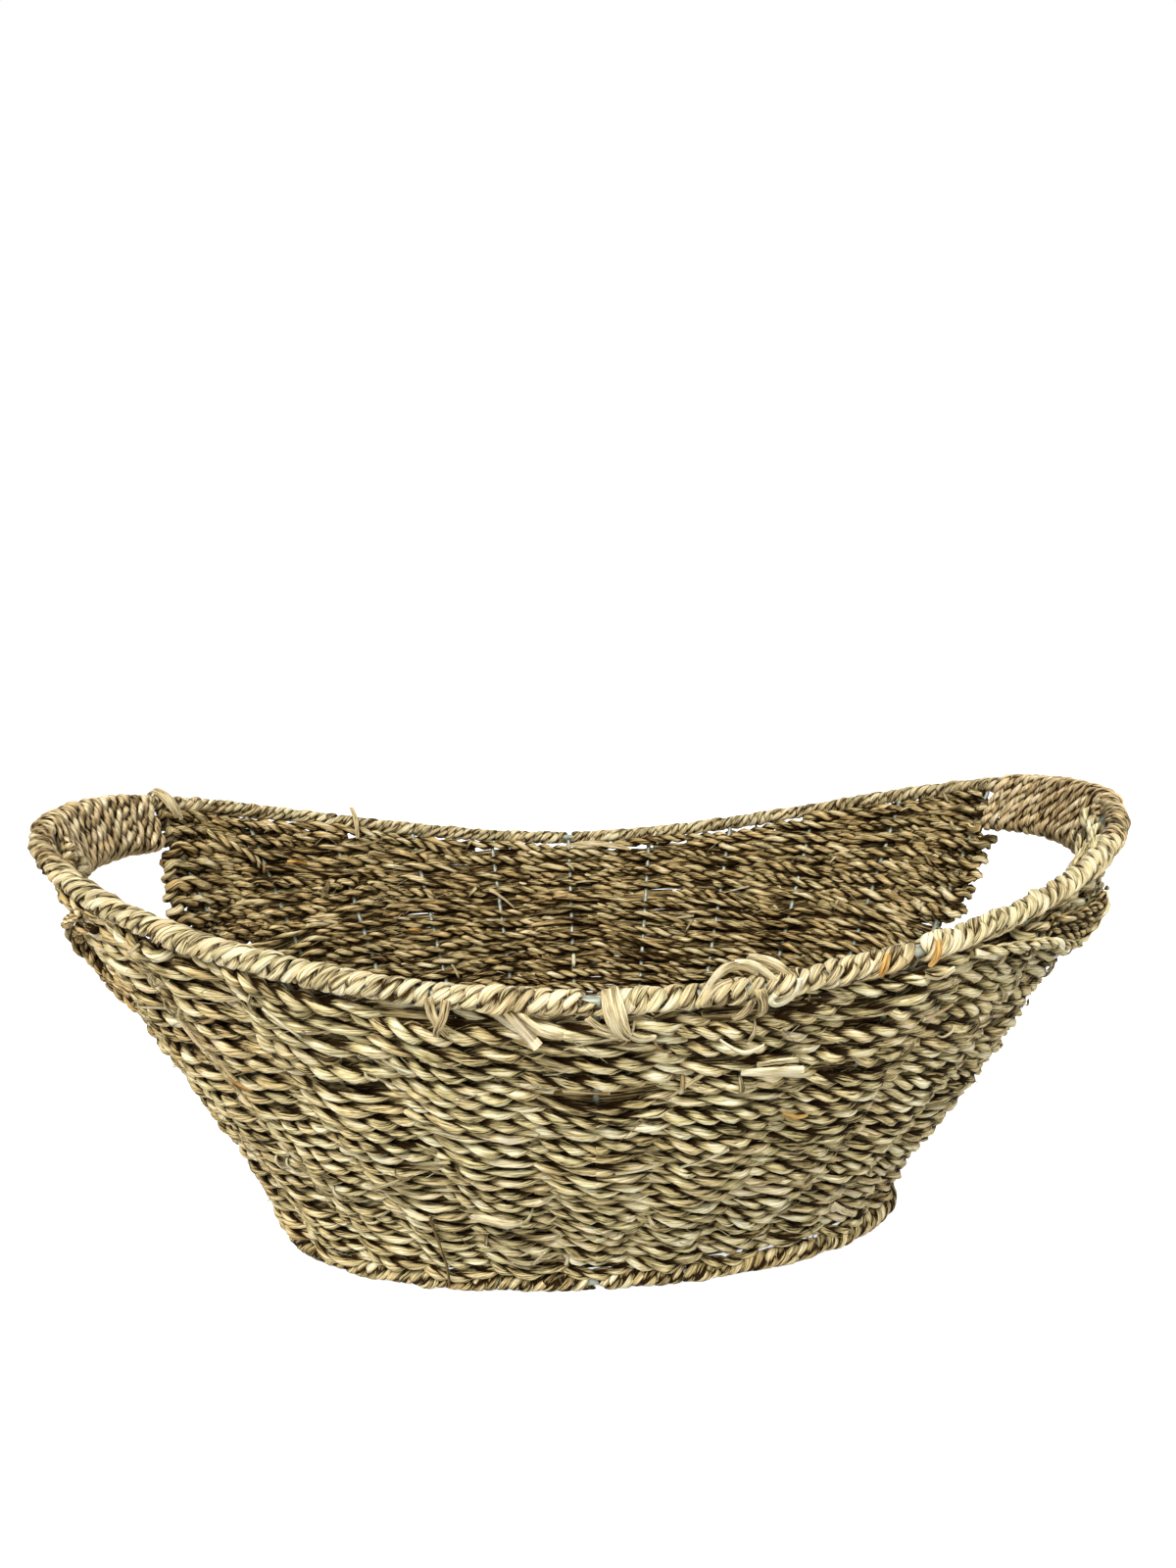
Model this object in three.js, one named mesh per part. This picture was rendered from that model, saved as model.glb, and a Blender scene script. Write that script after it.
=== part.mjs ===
// Magazine basket: seagrass rope woven over a welded wire frame, with a roped grip at each end.
// Millimetres, +Z up. The origin is on the floor under the middle, the long side runs along X.

import * as THREE from 'three';

// Oval of the rim, which climbs towards both ends
const rimHalfLength = 230;
const rimHalfWidth = 148;
const rimFullness = 2.15;
const rimLowHeight = 157;
const rimEndRise = 43;
const rimRisePower = 1.82;

// Oval of the base hoop
const baseHalfLength = 145;
const baseHalfWidth = 61;
const baseFullness = 2.15;

// Wires of the frame
const hoopWireRadius = 2;
const stakeRadius = 1.25;
const stakeShift = -6;
const wireGap = 0.35;

// Cord wrapped round the rim and the base hoop
const rimWrapRadius = 4;
const baseWrapRadius = 4.2;
const bareWeldLength = 9;

// Woven rope. The full turns reach up to a share of the rim's height, where the upper weave starts
const ropeDepth = 5.6;
const ropeGap = 0.45;
const courseSlack = 0.1;
const fullTurnsShare = 0.755;
const firstCourseLiftShare = 0.25;
const rimToWeaveShare = 0.68;
const floorStrandPitch = 8.2;

// Grips
const gripDrop = 21;
const gripWireRadius = 1.8;
const gripBend = 3.5;
const gripCordDiameter = 3.3;
const gripTurnPitch = 4.3;
const gripBulge = 0.7;

// Counts
const stakesAround = 24;
const stakesPerSide = 11;
const courseCount = 17;
const gripTurnsMost = 24;
const stepsPerTurn = 6;
const wireSides = 6;
const wrapSides = 8;
const cordSides = 5;

// Directions along a hoop are taken between two places this far to each side, in stakes
const nearbyPlace = 0.25;

// Turns of the upper weave: each short run goes from the handle opening to this stake and back
const longReturnStake = 2;
const shortReturnStake = 3;
const runFadeShares = [0.9, 0.3];

// Under the grips the turns reach this far past the edge stakes, over a drop below the grip's wire
const loopReach = 5;
const loopReachDrops = [9, 15];

// Places worked out from the sizes above
const tipStake = stakesAround / 4;
const edgeStake = (stakesPerSide - 1) / 2;
const backStake = stakesAround / 2;
const weaveOffset = stakeRadius + ropeDepth / 2 + ropeGap;
const baseHoopHeight = baseWrapRadius;
const floorWireHeight = baseHoopHeight + baseWrapRadius + wireGap + stakeRadius;
const wallFootHeight = floorWireHeight + stakeRadius;
const topCourseHeight = rimLowHeight * fullTurnsShare;
const courseRise = (topCourseHeight - wallFootHeight) / (courseCount - 1 + firstCourseLiftShare);
const firstCourseHeight = wallFootHeight + courseRise * firstCourseLiftShare;
const ropeHeight = courseRise - courseSlack;
const rimToWeaveGap = courseRise * rimToWeaveShare;

class OvalCurve extends THREE.Curve {
  constructor(halfLength, halfWidth, fullness, heightAt) {
    super();
    this.halfLength = halfLength;
    this.halfWidth = halfWidth;
    this.power = 2 / fullness;
    this.heightAt = heightAt;
    this.arcLengthDivisions = 960;
  }

  // The curve starts at the middle of the front and runs towards +X
  getPoint(share, target = new THREE.Vector3()) {
    const turn = share * Math.PI * 2;
    const sine = Math.sin(turn);
    const cosine = Math.cos(turn);
    const x = this.halfLength * Math.sign(sine) * Math.abs(sine) ** this.power;
    const y = -this.halfWidth * Math.sign(cosine) * Math.abs(cosine) ** this.power;
    return target.set(x, y, this.heightAt(x));
  }
}

const rimHeightAt = (x) => rimLowHeight + rimEndRise * Math.abs(x / rimHalfLength) ** rimRisePower;
const rimCurve = new OvalCurve(rimHalfLength, rimHalfWidth, rimFullness, rimHeightAt);
const baseCurve = new OvalCurve(baseHalfLength, baseHalfWidth, baseFullness, () => baseHoopHeight);

// Share of the hoop at each stake: 11 on the front, one at the right end, 11 on the back, one at the left
function makeStakeShares() {
  const shares = new Array(stakesAround);
  const shiftShare = stakeShift / rimCurve.getLength();
  for (let side = -edgeStake; side <= edgeStake; side += 1) {
    const share = side / stakesAround + shiftShare * (1 - Math.abs(side) / edgeStake);
    shares[(side + stakesAround) % stakesAround] = (share + 1) % 1;
    shares[backStake - side] = 0.5 - share;
  }
  shares[tipStake] = 0.25;
  shares[stakesAround - tipStake] = 0.75;
  return shares;
}

const stakeShares = makeStakeShares();

// A place along the wall is a stake number, with fractions between two stakes
function shareAt(place) {
  const whole = Math.floor(place);
  const lower = stakeShares[((whole % stakesAround) + stakesAround) % stakesAround];
  const upper = stakeShares[(((whole + 1) % stakesAround) + stakesAround) % stakesAround];
  const step = (upper - lower + 1) % 1;
  return (lower + step * (place - whole) + 1) % 1;
}

const rimAt = (place) => rimCurve.getPointAt(shareAt(place));
const baseAt = (place) => baseCurve.getPointAt(shareAt(place));

// The wall runs straight from the base hoop, at level 0, to the rim, at level 1
function wallPoint(place, level) {
  return baseAt(place).lerp(rimAt(place), level);
}

function wallSlope(place) {
  return rimAt(place).sub(baseAt(place)).normalize();
}

function wallLength(place) {
  return rimAt(place).distanceTo(baseAt(place));
}

function wallNormal(place) {
  const around = wallPoint(place + nearbyPlace, 0.5).sub(wallPoint(place - nearbyPlace, 0.5));
  return around.cross(wallSlope(place)).normalize();
}

function levelAtHeight(place, height) {
  return (height - baseHoopHeight) / (rimAt(place).z - baseHoopHeight);
}

// A closed or open tube through stations, each with a point, a sideways direction and a section
function sweep(stations, section, closed, innerSection) {
  const count = stations.length;
  const positions = [];
  const triangles = [];
  const direction = (from, to) => stations[to].point.clone().sub(stations[from].point).normalize();

  function addTube(outline) {
    const first = positions.length / 3;
    for (let i = 0; i < count; i += 1) {
      const before = closed ? (i + count - 1) % count : Math.max(i - 1, 0);
      const after = closed ? (i + 1) % count : Math.min(i + 1, count - 1);
      const along = new THREE.Vector3();
      if (before !== i) along.add(direction(before, i));
      if (after !== i) along.add(direction(i, after));
      along.normalize();
      const side = stations[i].side.clone().addScaledVector(along, -along.dot(stations[i].side)).normalize();
      const up = along.clone().cross(side);
      for (const corner of outline) {
        const place = stations[i].point.clone().addScaledVector(side, corner.x).addScaledVector(up, corner.y);
        positions.push(place.x, place.y, place.z);
      }
    }
    return first;
  }

  function addQuad(a, b, c, d, flipped) {
    if (flipped) triangles.push(a, c, b, a, d, c);
    else triangles.push(a, b, c, a, c, d);
  }

  function addWall(first, sides, flipped) {
    const spans = closed ? count : count - 1;
    for (let i = 0; i < spans; i += 1) {
      const row = first + i * sides;
      const next = first + ((i + 1) % count) * sides;
      for (let j = 0; j < sides; j += 1) {
        const k = (j + 1) % sides;
        addQuad(row + j, row + k, next + k, next + j, flipped);
      }
    }
  }

  const sides = section.length;
  const outer = addTube(section);
  addWall(outer, sides, false);
  const last = (count - 1) * sides;
  if (innerSection) {
    const inner = addTube(innerSection);
    addWall(inner, sides, true);
    for (let j = 0; j < sides && !closed; j += 1) {
      const k = (j + 1) % sides;
      addQuad(outer + j, inner + j, inner + k, outer + k, false);
      addQuad(outer + last + j, inner + last + j, inner + last + k, outer + last + k, true);
    }
  } else if (!closed) {
    for (let j = 1; j < sides - 1; j += 1) {
      triangles.push(outer, outer + j + 1, outer + j);
      triangles.push(outer + last, outer + last + j, outer + last + j + 1);
    }
  }

  const geometry = new THREE.BufferGeometry();
  geometry.setAttribute('position', new THREE.Float32BufferAttribute(positions, 3));
  geometry.setIndex(triangles);
  geometry.computeVertexNormals();
  return geometry;
}

// Regular section whose flat sides, not its corners, lie at the radius
function flatSection(radius, sides) {
  const corner = radius / Math.cos(Math.PI / sides);
  return roundSection(corner, sides);
}

function roundSection(radius, sides) {
  const outline = [];
  for (let j = 0; j < sides; j += 1) {
    const turn = ((j + 0.5) / sides) * Math.PI * 2;
    outline.push(new THREE.Vector2(radius * Math.cos(turn), radius * Math.sin(turn)));
  }
  return outline;
}

// The rope is seen as a row of ridges, so its section is a lozenge: deep across the wall, tall along it
const ropeSection = [
  new THREE.Vector2(ropeDepth / 2, 0),
  new THREE.Vector2(0, ropeHeight / 2),
  new THREE.Vector2(-ropeDepth / 2, 0),
  new THREE.Vector2(0, -ropeHeight / 2),
];

const wirePaint = new THREE.MeshStandardMaterial({ color: 0x8f958c, roughness: 0.55, metalness: 0.6 });
const wrapGrass = new THREE.MeshStandardMaterial({ color: 0xd9c99a, roughness: 0.8, metalness: 0 });
const gripGrass = new THREE.MeshStandardMaterial({ color: 0xc9b27c, roughness: 0.8, metalness: 0 });
const wallGrass = new THREE.MeshStandardMaterial({ color: 0xb9a272, roughness: 0.85, metalness: 0 });
const innerGrass = new THREE.MeshStandardMaterial({ color: 0x9c8152, roughness: 0.85, metalness: 0 });

const basket = new THREE.Group();

function addPiece(name, geometry, material) {
  const mesh = new THREE.Mesh(geometry, material);
  mesh.name = name;
  basket.add(mesh);
}

const padded = (number) => String(number).padStart(2, '0');

// Hoops are polygons with a corner at each stake and one between, and what is wrapped on them follows
function hoopStations(pointAt, sideAt, from, to) {
  const places = [from];
  for (let half = Math.floor(from * 2) + 1; half / 2 < to; half += 1) places.push(half / 2);
  places.push(to);
  return places.map((place) => ({ point: polygonPoint(pointAt, place), side: sideAt(place) }));
}

function polygonPoint(pointAt, place) {
  const start = Math.floor(place * 2) / 2;
  return pointAt(start).lerp(pointAt(start + 0.5), (place - start) * 2);
}

function closedHoopStations(pointAt, sideAt) {
  const stations = [];
  for (let half = 0; half < stakesAround * 2; half += 1) {
    const place = half / 2;
    stations.push({ point: pointAt(place), side: sideAt(place) });
  }
  return stations;
}

function levelOutward(place) {
  const normal = wallNormal(place);
  return new THREE.Vector3(normal.x, normal.y, 0).normalize();
}

function lengthPerStake(pointAt, place) {
  const start = Math.floor(place * 2) / 2;
  return pointAt(start).distanceTo(pointAt(start + 0.5)) * 2;
}

function addHoops() {
  const section = roundSection(hoopWireRadius, wireSides);
  addPiece('rim_wire', sweep(closedHoopStations(rimAt, wallNormal), section, true), wirePaint);
  addPiece('base_wire', sweep(closedHoopStations(baseAt, levelOutward), section, true), wirePaint);
}

// Each grip hangs a bow from the rim wire: two legs, and between them a wire a fixed drop below the rim
const gripWireAt = (place) => wallPoint(place, 1 - gripDrop / wallLength(place));

function stepAlong(pointAt, place, distance) {
  return place + distance / lengthPerStake(pointAt, place);
}

function legStation(place, drop, shift) {
  const rim = polygonPoint(rimAt, place);
  const wire = polygonPoint(gripWireAt, place);
  const point = rim.lerp(wire, drop / gripDrop);
  point.addScaledVector(aroundRim(place), shift);
  return { point, side: wallNormal(place) };
}

function aroundRim(place) {
  return rimAt(place + nearbyPlace).sub(rimAt(place - nearbyPlace)).normalize();
}

function addGripBow(name, tip) {
  const from = gripStart(tip);
  const to = gripEnd(tip);
  const weld = hoopWireRadius + wireGap;
  const stations = hoopStations(gripWireAt, wallNormal, from, to);
  stations.splice(0, 1, legStation(from, weld, 0), legStation(from, gripDrop - gripBend, 0));
  stations.splice(2, 0, legStation(from, gripDrop, gripBend));
  stations.pop();
  stations.push(legStation(to, gripDrop, -gripBend), legStation(to, gripDrop - gripBend, 0));
  stations.push(legStation(to, weld, 0));
  addPiece(name, sweep(stations, roundSection(gripWireRadius, wireSides), false), wirePaint);
}

// Each stake of the sides is one wire: down the front, across the floor and up the back
function stakeTop(place, onBareWeld) {
  const carrier = onBareWeld ? hoopWireRadius : rimWrapRadius / Math.cos(Math.PI / wrapSides);
  return wallPoint(place, 1 - (carrier + wireGap) / wallLength(place));
}

function addCrossStakes() {
  for (let side = -edgeStake; side <= edgeStake; side += 1) {
    const front = side;
    const back = backStake - side;
    const corners = [
      stakeTop(front, side === 0),
      wallPoint(front, levelAtHeight(front, floorWireHeight)),
      wallPoint(back, levelAtHeight(back, floorWireHeight)),
      stakeTop(back, side === 0),
    ];
    const stations = corners.map((point) => ({ point, side: new THREE.Vector3(1, 0, 0) }));
    const section = roundSection(stakeRadius, wireSides);
    addPiece(`cross_stake_${padded(side + edgeStake + 1)}`, sweep(stations, section, false), wirePaint);
  }
}

// The stake at each end stops inside the top course, under the handle opening
function addEndStake(name, tip) {
  const foot = wallPoint(tip, (baseWrapRadius / Math.cos(Math.PI / wrapSides) + wireGap) / wallLength(tip));
  const head = wallPoint(tip, levelAtHeight(tip, topCourseHeight));
  const stations = [foot, head].map((point) => ({ point, side: new THREE.Vector3(0, 1, 0) }));
  addPiece(name, sweep(stations, roundSection(stakeRadius, wireSides), false), wirePaint);
}

// A wrap is a sleeve of wound cord, open at both ends, with the bare weld of a stake between two wraps
function addWrap(name, pointAt, sideAt, from, to, radius) {
  const stations = hoopStations(pointAt, sideAt, from, to);
  const outer = flatSection(radius, wrapSides);
  const inner = flatSection(hoopWireRadius + wireGap, wrapSides);
  addPiece(name, sweep(stations, outer, false, inner), wrapGrass);
}

function addRimWraps() {
  const bare = bareWeldLength / 2;
  const gripSpace = gripCordDiameter + wireGap;
  const frontStart = stepAlong(rimAt, 0, bare);
  const frontStop = stepAlong(rimAt, -0.5, -bare) + 0.5;
  const backStart = stepAlong(rimAt, backStake, bare);
  const backStop = stepAlong(rimAt, backStake - 0.5, -bare) + 0.5;
  const rightFront = gripStart(tipStake) - gripSpace / lengthPerStake(rimAt, tipStake - 1);
  const rightBack = gripEnd(tipStake) + gripSpace / lengthPerStake(rimAt, tipStake + 1);
  const leftTip = stakesAround - tipStake;
  const leftBack = gripStart(leftTip) - gripSpace / lengthPerStake(rimAt, leftTip - 1);
  const leftFront = gripEnd(leftTip) + gripSpace / lengthPerStake(rimAt, leftTip + 1);
  addWrap('rim_wrap_front_right', rimAt, wallNormal, frontStart, rightFront, rimWrapRadius);
  addWrap('rim_wrap_back_right', rimAt, wallNormal, rightBack, backStop, rimWrapRadius);
  addWrap('rim_wrap_back_left', rimAt, wallNormal, backStart, leftBack, rimWrapRadius);
  addWrap('rim_wrap_front_left', rimAt, wallNormal, leftFront - stakesAround, frontStop, rimWrapRadius);
}

function addBaseWraps() {
  const bare = bareWeldLength / 2;
  const frontStart = stepAlong(baseAt, 0, bare);
  const backStop = stepAlong(baseAt, backStake - 0.5, -bare) + 0.5;
  const backStart = stepAlong(baseAt, backStake, bare);
  const frontStop = stepAlong(baseAt, stakesAround - 0.5, -bare) + 0.5;
  addWrap('base_wrap_right', baseAt, levelOutward, frontStart, backStop, baseWrapRadius);
  addWrap('base_wrap_left', baseAt, levelOutward, backStart, frontStop, baseWrapRadius);
}

// Grip: one cord wound round the rim wire and the bow, clear of the rope that turns at the opening's edge
const gripClear = weaveOffset + ropeDepth / 2 + ropeGap + gripCordDiameter / 2;

function gripStart(tip) {
  return stepAlong(gripWireAt, tip - 1, gripClear);
}

function gripEnd(tip) {
  return stepAlong(gripWireAt, tip + 1 - 0.5, -gripClear) + 0.5;
}

function gripCordStations(tip) {
  const halfCord = gripCordDiameter / 2;
  const overRim = hoopWireRadius + wireGap + halfCord;
  const underWire = gripWireRadius + wireGap + halfCord;
  const bulge = overRim + gripBulge;
  const start = gripStart(tip);
  const reach = gripEnd(tip) - start;
  const length = reach * lengthPerStake(rimAt, tip - 1);
  const turns = Math.min(gripTurnsMost, Math.floor(length / gripTurnPitch));
  const steps = turns * stepsPerTurn;
  const stations = [];
  for (let i = 0; i <= steps; i += 1) {
    const place = start + (reach * i) / steps;
    const rim = polygonPoint(rimAt, place);
    const wire = polygonPoint(gripWireAt, place);
    const normal = wallNormal(place);
    const slope = rim.clone().sub(wire).normalize();
    const middle = rim.clone().lerp(wire, 0.5);
    const ring = [
      rim.clone().addScaledVector(slope, overRim).addScaledVector(normal, -overRim),
      rim.clone().addScaledVector(slope, overRim).addScaledVector(normal, overRim),
      middle.clone().addScaledVector(normal, bulge),
      wire.clone().addScaledVector(slope, -underWire).addScaledVector(normal, underWire),
      wire.clone().addScaledVector(slope, -underWire).addScaledVector(normal, -underWire),
      middle.clone().addScaledVector(normal, -bulge),
    ];
    stations.push({ point: ring[i % stepsPerTurn], side: aroundRim(place) });
  }
  straightenEnds(stations);
  return stations;
}

// The first and the last stretch run straight on for one cord diameter
function straightenEnds(stations) {
  const last = stations.length - 1;
  const startWay = stations[0].point.clone().sub(stations[1].point).setLength(gripCordDiameter);
  const endWay = stations[last].point.clone().sub(stations[last - 1].point).setLength(gripCordDiameter);
  stations[0].point.copy(stations[1].point).add(startWay);
  stations[last].point.copy(stations[last - 1].point).add(endWay);
}

// Least distance between points on the skin of different turns
function leastSelfGap(geometry) {
  const skin = geometry.getAttribute('position');
  const turn = stepsPerTurn * cordSides;
  const one = new THREE.Vector3();
  const other = new THREE.Vector3();
  let least = Infinity;
  for (let i = 0; i < skin.count; i += 1) {
    one.fromBufferAttribute(skin, i);
    const from = (Math.floor(i / cordSides) + stepsPerTurn / 2) * cordSides;
    const to = Math.min(skin.count, i + turn * 2);
    for (let j = from; j < to; j += 1) {
      other.fromBufferAttribute(skin, j);
      least = Math.min(least, one.distanceTo(other));
    }
  }
  return least;
}

function addGrip(name, tip) {
  const section = roundSection(gripCordDiameter / 2, cordSides);
  const geometry = sweep(gripCordStations(tip), section, false);
  console.log(`${name}: least gap to itself ${leastSelfGap(geometry).toFixed(2)} mm`);
  addPiece(name, geometry, gripGrass);
}

// A closed course passes outside one stake and inside the next, the course above it the other way round
function addWallCourses() {
  for (let course = 0; course < courseCount; course += 1) {
    const height = firstCourseHeight + courseRise * course;
    const stations = closedHoopStations((place) => {
      const swing = weaveOffset * Math.cos(Math.PI * (place + course));
      return wallPoint(place, levelAtHeight(place, height)).addScaledVector(wallNormal(place), swing);
    }, wallNormal);
    const material = course % 2 === 0 ? wallGrass : innerGrass;
    addPiece(`wall_course_${padded(course + 1)}`, sweep(stations, ropeSection, true), material);
  }
}

// Upper weave: one rope goes back and forth between the two handle openings, round the stakes at their edges.
// Short runs near the openings fill the wall where the rim climbs.
const upperRuns = [
  { from: -edgeStake, to: edgeStake },
  { from: edgeStake, to: longReturnStake },
  { from: longReturnStake, to: edgeStake },
  { from: edgeStake, to: -edgeStake },
  { from: -edgeStake, to: -longReturnStake },
  { from: -longReturnStake, to: -edgeStake },
  { from: -edgeStake, to: edgeStake },
  { from: edgeStake, to: shortReturnStake },
  { from: shortReturnStake, to: edgeStake },
  { from: edgeStake, to: -edgeStake },
  { from: -edgeStake, to: -shortReturnStake },
  { from: -shortReturnStake, to: -edgeStake },
];

// How much of a row's height a run takes at a place: all of it where it runs, none beyond its return stake
function runWeight(run, side) {
  if (Math.min(run.from, run.to) * Math.max(run.from, run.to) < 0) return 1;
  const inner = Math.min(Math.abs(run.from), Math.abs(run.to));
  const outwards = Math.sign(run.from + run.to) * side;
  return THREE.MathUtils.smoothstep(outwards, inner - runFadeShares[0], inner + runFadeShares[1]);
}

function upperLevel(centre, side, runNumber) {
  const place = centre + side;
  const length = wallLength(place);
  const floor = levelAtHeight(place, topCourseHeight) + ropeHeight / 2 / length;
  const ceiling = 1 - (rimWrapRadius + rimToWeaveGap * (1 - Math.abs(side) / tipStake)) / length;
  let below = 0;
  let total = 0;
  upperRuns.forEach((run, i) => {
    const weight = runWeight(run, side);
    total += weight;
    if (i < runNumber) below += weight;
    if (i === runNumber) below += weight / 2;
  });
  return floor + ((ceiling - floor) * below) / total;
}

function upperStation(centre, side, level, across, along) {
  const place = centre + side;
  const normal = wallNormal(place);
  const way = aroundRim(place);
  const point = wallPoint(place, level).addScaledVector(normal, across).addScaledVector(way, along);
  return { point, normal, way };
}

// How much further than the weave's own offset a turn at the edge of a handle opening reaches into it
function loopReachAt(place, level) {
  const drop = (1 - level) * wallLength(place) - gripDrop;
  return loopReach * THREE.MathUtils.smoothstep(drop, loopReachDrops[0], loopReachDrops[1]);
}

function upperWeaveStations(centre) {
  const stations = [];
  upperRuns.forEach((run, i) => {
    const step = Math.sign(run.to - run.from) / 2;
    const facing = i % 2 === 0 ? 1 : -1;
    const halfSteps = Math.abs(run.to - run.from) * 2;
    for (let half = 0; half <= halfSteps; half += 1) {
      const side = run.from + step * half;
      const swing = -facing * weaveOffset * Math.cos(Math.PI * side);
      const { point, normal } = upperStation(centre, side, upperLevel(centre, side, i), swing, 0);
      stations.push({ point, side: normal.multiplyScalar(Math.sign(step)) });
    }
    if (i === upperRuns.length - 1) return;
    const turnSide = run.to;
    const outwards = Math.sign(step);
    const leaving = -facing * Math.cos(Math.PI * turnSide);
    const lower = upperLevel(centre, turnSide, i);
    const upper = upperLevel(centre, turnSide, i + 1);
    for (const turnShare of [0.25, 0.5, 0.75]) {
      const angle = Math.PI * turnShare;
      const across = leaving * weaveOffset * Math.cos(angle);
      const level = lower + (upper - lower) * turnShare;
      const atOpening = Math.abs(turnSide) === edgeStake;
      const reach = atOpening ? loopReachAt(centre + turnSide, level) : 0;
      const along = outwards * (weaveOffset + reach) * Math.sin(angle);
      const { point, normal, way } = upperStation(centre, turnSide, level, across, along);
      const side = normal.multiplyScalar(Math.cos(angle) * outwards);
      side.addScaledVector(way, Math.sin(angle) * leaving);
      stations.push({ point, side });
    }
  });
  return stations;
}

function addUpperWeaves() {
  addPiece('upper_weave_front', sweep(upperWeaveStations(0), ropeSection, false), wallGrass);
  addPiece('upper_weave_back', sweep(upperWeaveStations(backStake), ropeSection, false), innerGrass);
}

// Floor strands run lengthwise, over one cross stake and under the next
function addFloorStrands() {
  const hoopClearance = baseWrapRadius / Math.cos(Math.PI / wrapSides) + ropeGap;
  const halfWidth = baseHalfWidth - hoopClearance - ropeHeight / 2;
  const strandsPerHalf = Math.floor(halfWidth / floorStrandPitch);
  for (let strand = -strandsPerHalf; strand <= strandsPerHalf; strand += 1) {
    const y = strand * floorStrandPitch;
    const widest = Math.abs(y) + ropeHeight / 2;
    const endShare = (1 - (widest / (baseHalfWidth - hoopClearance)) ** baseFullness) ** (1 / baseFullness);
    const endX = (baseHalfLength - hoopClearance) * endShare;
    const stations = [];
    for (let side = -edgeStake; side <= edgeStake; side += 1) {
      const x = wallPoint(side, levelAtHeight(side, floorWireHeight)).x;
      if (Math.abs(x) + ropeDepth > endX) continue;
      const lift = weaveOffset * Math.cos(Math.PI * (side + strand));
      stations.push({ point: new THREE.Vector3(x, y, floorWireHeight + lift) });
    }
    const first = stations[0].point;
    const last = stations[stations.length - 1].point;
    stations.unshift({ point: new THREE.Vector3(-endX, y, first.z) });
    stations.push({ point: new THREE.Vector3(endX, y, last.z) });
    stations.forEach((station) => {
      station.side = new THREE.Vector3(0, 0, 1);
    });
    const name = `floor_strand_${padded(strand + strandsPerHalf + 1)}`;
    addPiece(name, sweep(stations, ropeSection, false), innerGrass);
  }
}

addHoops();
addGripBow('grip_bow_right', tipStake);
addGripBow('grip_bow_left', stakesAround - tipStake);
addCrossStakes();
addEndStake('end_stake_right', tipStake);
addEndStake('end_stake_left', stakesAround - tipStake);
addRimWraps();
addBaseWraps();
addGrip('grip_winding_right', tipStake);
addGrip('grip_winding_left', stakesAround - tipStake);
addWallCourses();
addUpperWeaves();
addFloorStrands();

export default basket;
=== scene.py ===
"""Magazine basket: twisted seagrass rope woven over a wire frame, with a wound grip at each end.

Lengths are in millimetres up to the moment a mesh is made, as in the model's own source.
A place is a number of stakes round the wall, from the middle of the front towards +X.
A level runs up the wall, from 0 at the base hoop to 1 at the rim.
"""

import math

import bpy
import numpy as np
from mathutils import Matrix, Vector


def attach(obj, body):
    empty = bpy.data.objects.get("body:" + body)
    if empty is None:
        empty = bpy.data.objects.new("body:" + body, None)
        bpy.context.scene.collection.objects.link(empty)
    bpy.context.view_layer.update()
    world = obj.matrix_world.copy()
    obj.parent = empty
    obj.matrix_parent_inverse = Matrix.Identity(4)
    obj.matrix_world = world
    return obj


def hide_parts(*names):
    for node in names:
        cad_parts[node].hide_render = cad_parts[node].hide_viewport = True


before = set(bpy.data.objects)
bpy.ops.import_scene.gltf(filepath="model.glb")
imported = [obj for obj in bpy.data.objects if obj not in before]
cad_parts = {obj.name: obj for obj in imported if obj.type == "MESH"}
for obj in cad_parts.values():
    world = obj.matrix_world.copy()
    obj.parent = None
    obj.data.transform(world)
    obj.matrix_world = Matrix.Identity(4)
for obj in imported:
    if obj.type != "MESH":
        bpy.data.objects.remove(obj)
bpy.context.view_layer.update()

MM = 0.001

# Sizes of the basket, the same as in the model's source
RIM_HALF_LENGTH = 230.0
RIM_HALF_WIDTH = 148.0
RIM_LOW_HEIGHT = 157.0
RIM_END_RISE = 43.0
RIM_RISE_POWER = 1.82
BASE_HALF_LENGTH = 145.0
BASE_HALF_WIDTH = 61.0
OVAL_FULLNESS = 2.15
RIGHT_BASE_FULLNESS = 2.0
STAKES_AROUND = 24
EDGE_STAKE = 5
TIP_STAKE = 6
BACK_STAKE = 12
TIPS = (("right", TIP_STAKE), ("left", STAKES_AROUND - TIP_STAKE))
MIDDLES = {"front": 0.0, "back": float(BACK_STAKE)}
STAKE_SHIFT = -6.0
HOOP_WIRE_RADIUS = 2.0
STAKE_RADIUS = 1.25
GRIP_WIRE_RADIUS = 1.8
GRIP_DROP = 21.0
GRIP_CLEAR = 9.4
BARE_WELD = 5.0
BASE_HEIGHT = 4.2
FLOOR_WIRE_HEIGHT = 10.0
WALL_FOOT_HEIGHT = 11.25
FULL_TURNS_SHARE = 0.755
TOP_COURSE_HEIGHT = RIM_LOW_HEIGHT * FULL_TURNS_SHARE
COURSE_COUNT = 17
FIRST_COURSE_SHARE = 0.25
PASS_OFFSET = 0.25
COURSE_RISE = (TOP_COURSE_HEIGHT - WALL_FOOT_HEIGHT) / (COURSE_COUNT - 1 + FIRST_COURSE_SHARE)
FIRST_COURSE_HEIGHT = WALL_FOOT_HEIGHT + COURSE_RISE * FIRST_COURSE_SHARE
RIM_WRAP_RADIUS = 4.0
RIM_TO_WEAVE_SHARE = 0.68
RIM_TO_WEAVE_GAP = COURSE_RISE * RIM_TO_WEAVE_SHARE
BACK_WEAVE_GAP = 1.2
FLOOR_STRAND_PITCH = 8.2
FLOOR_STRANDS_PER_HALF = 6

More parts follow.
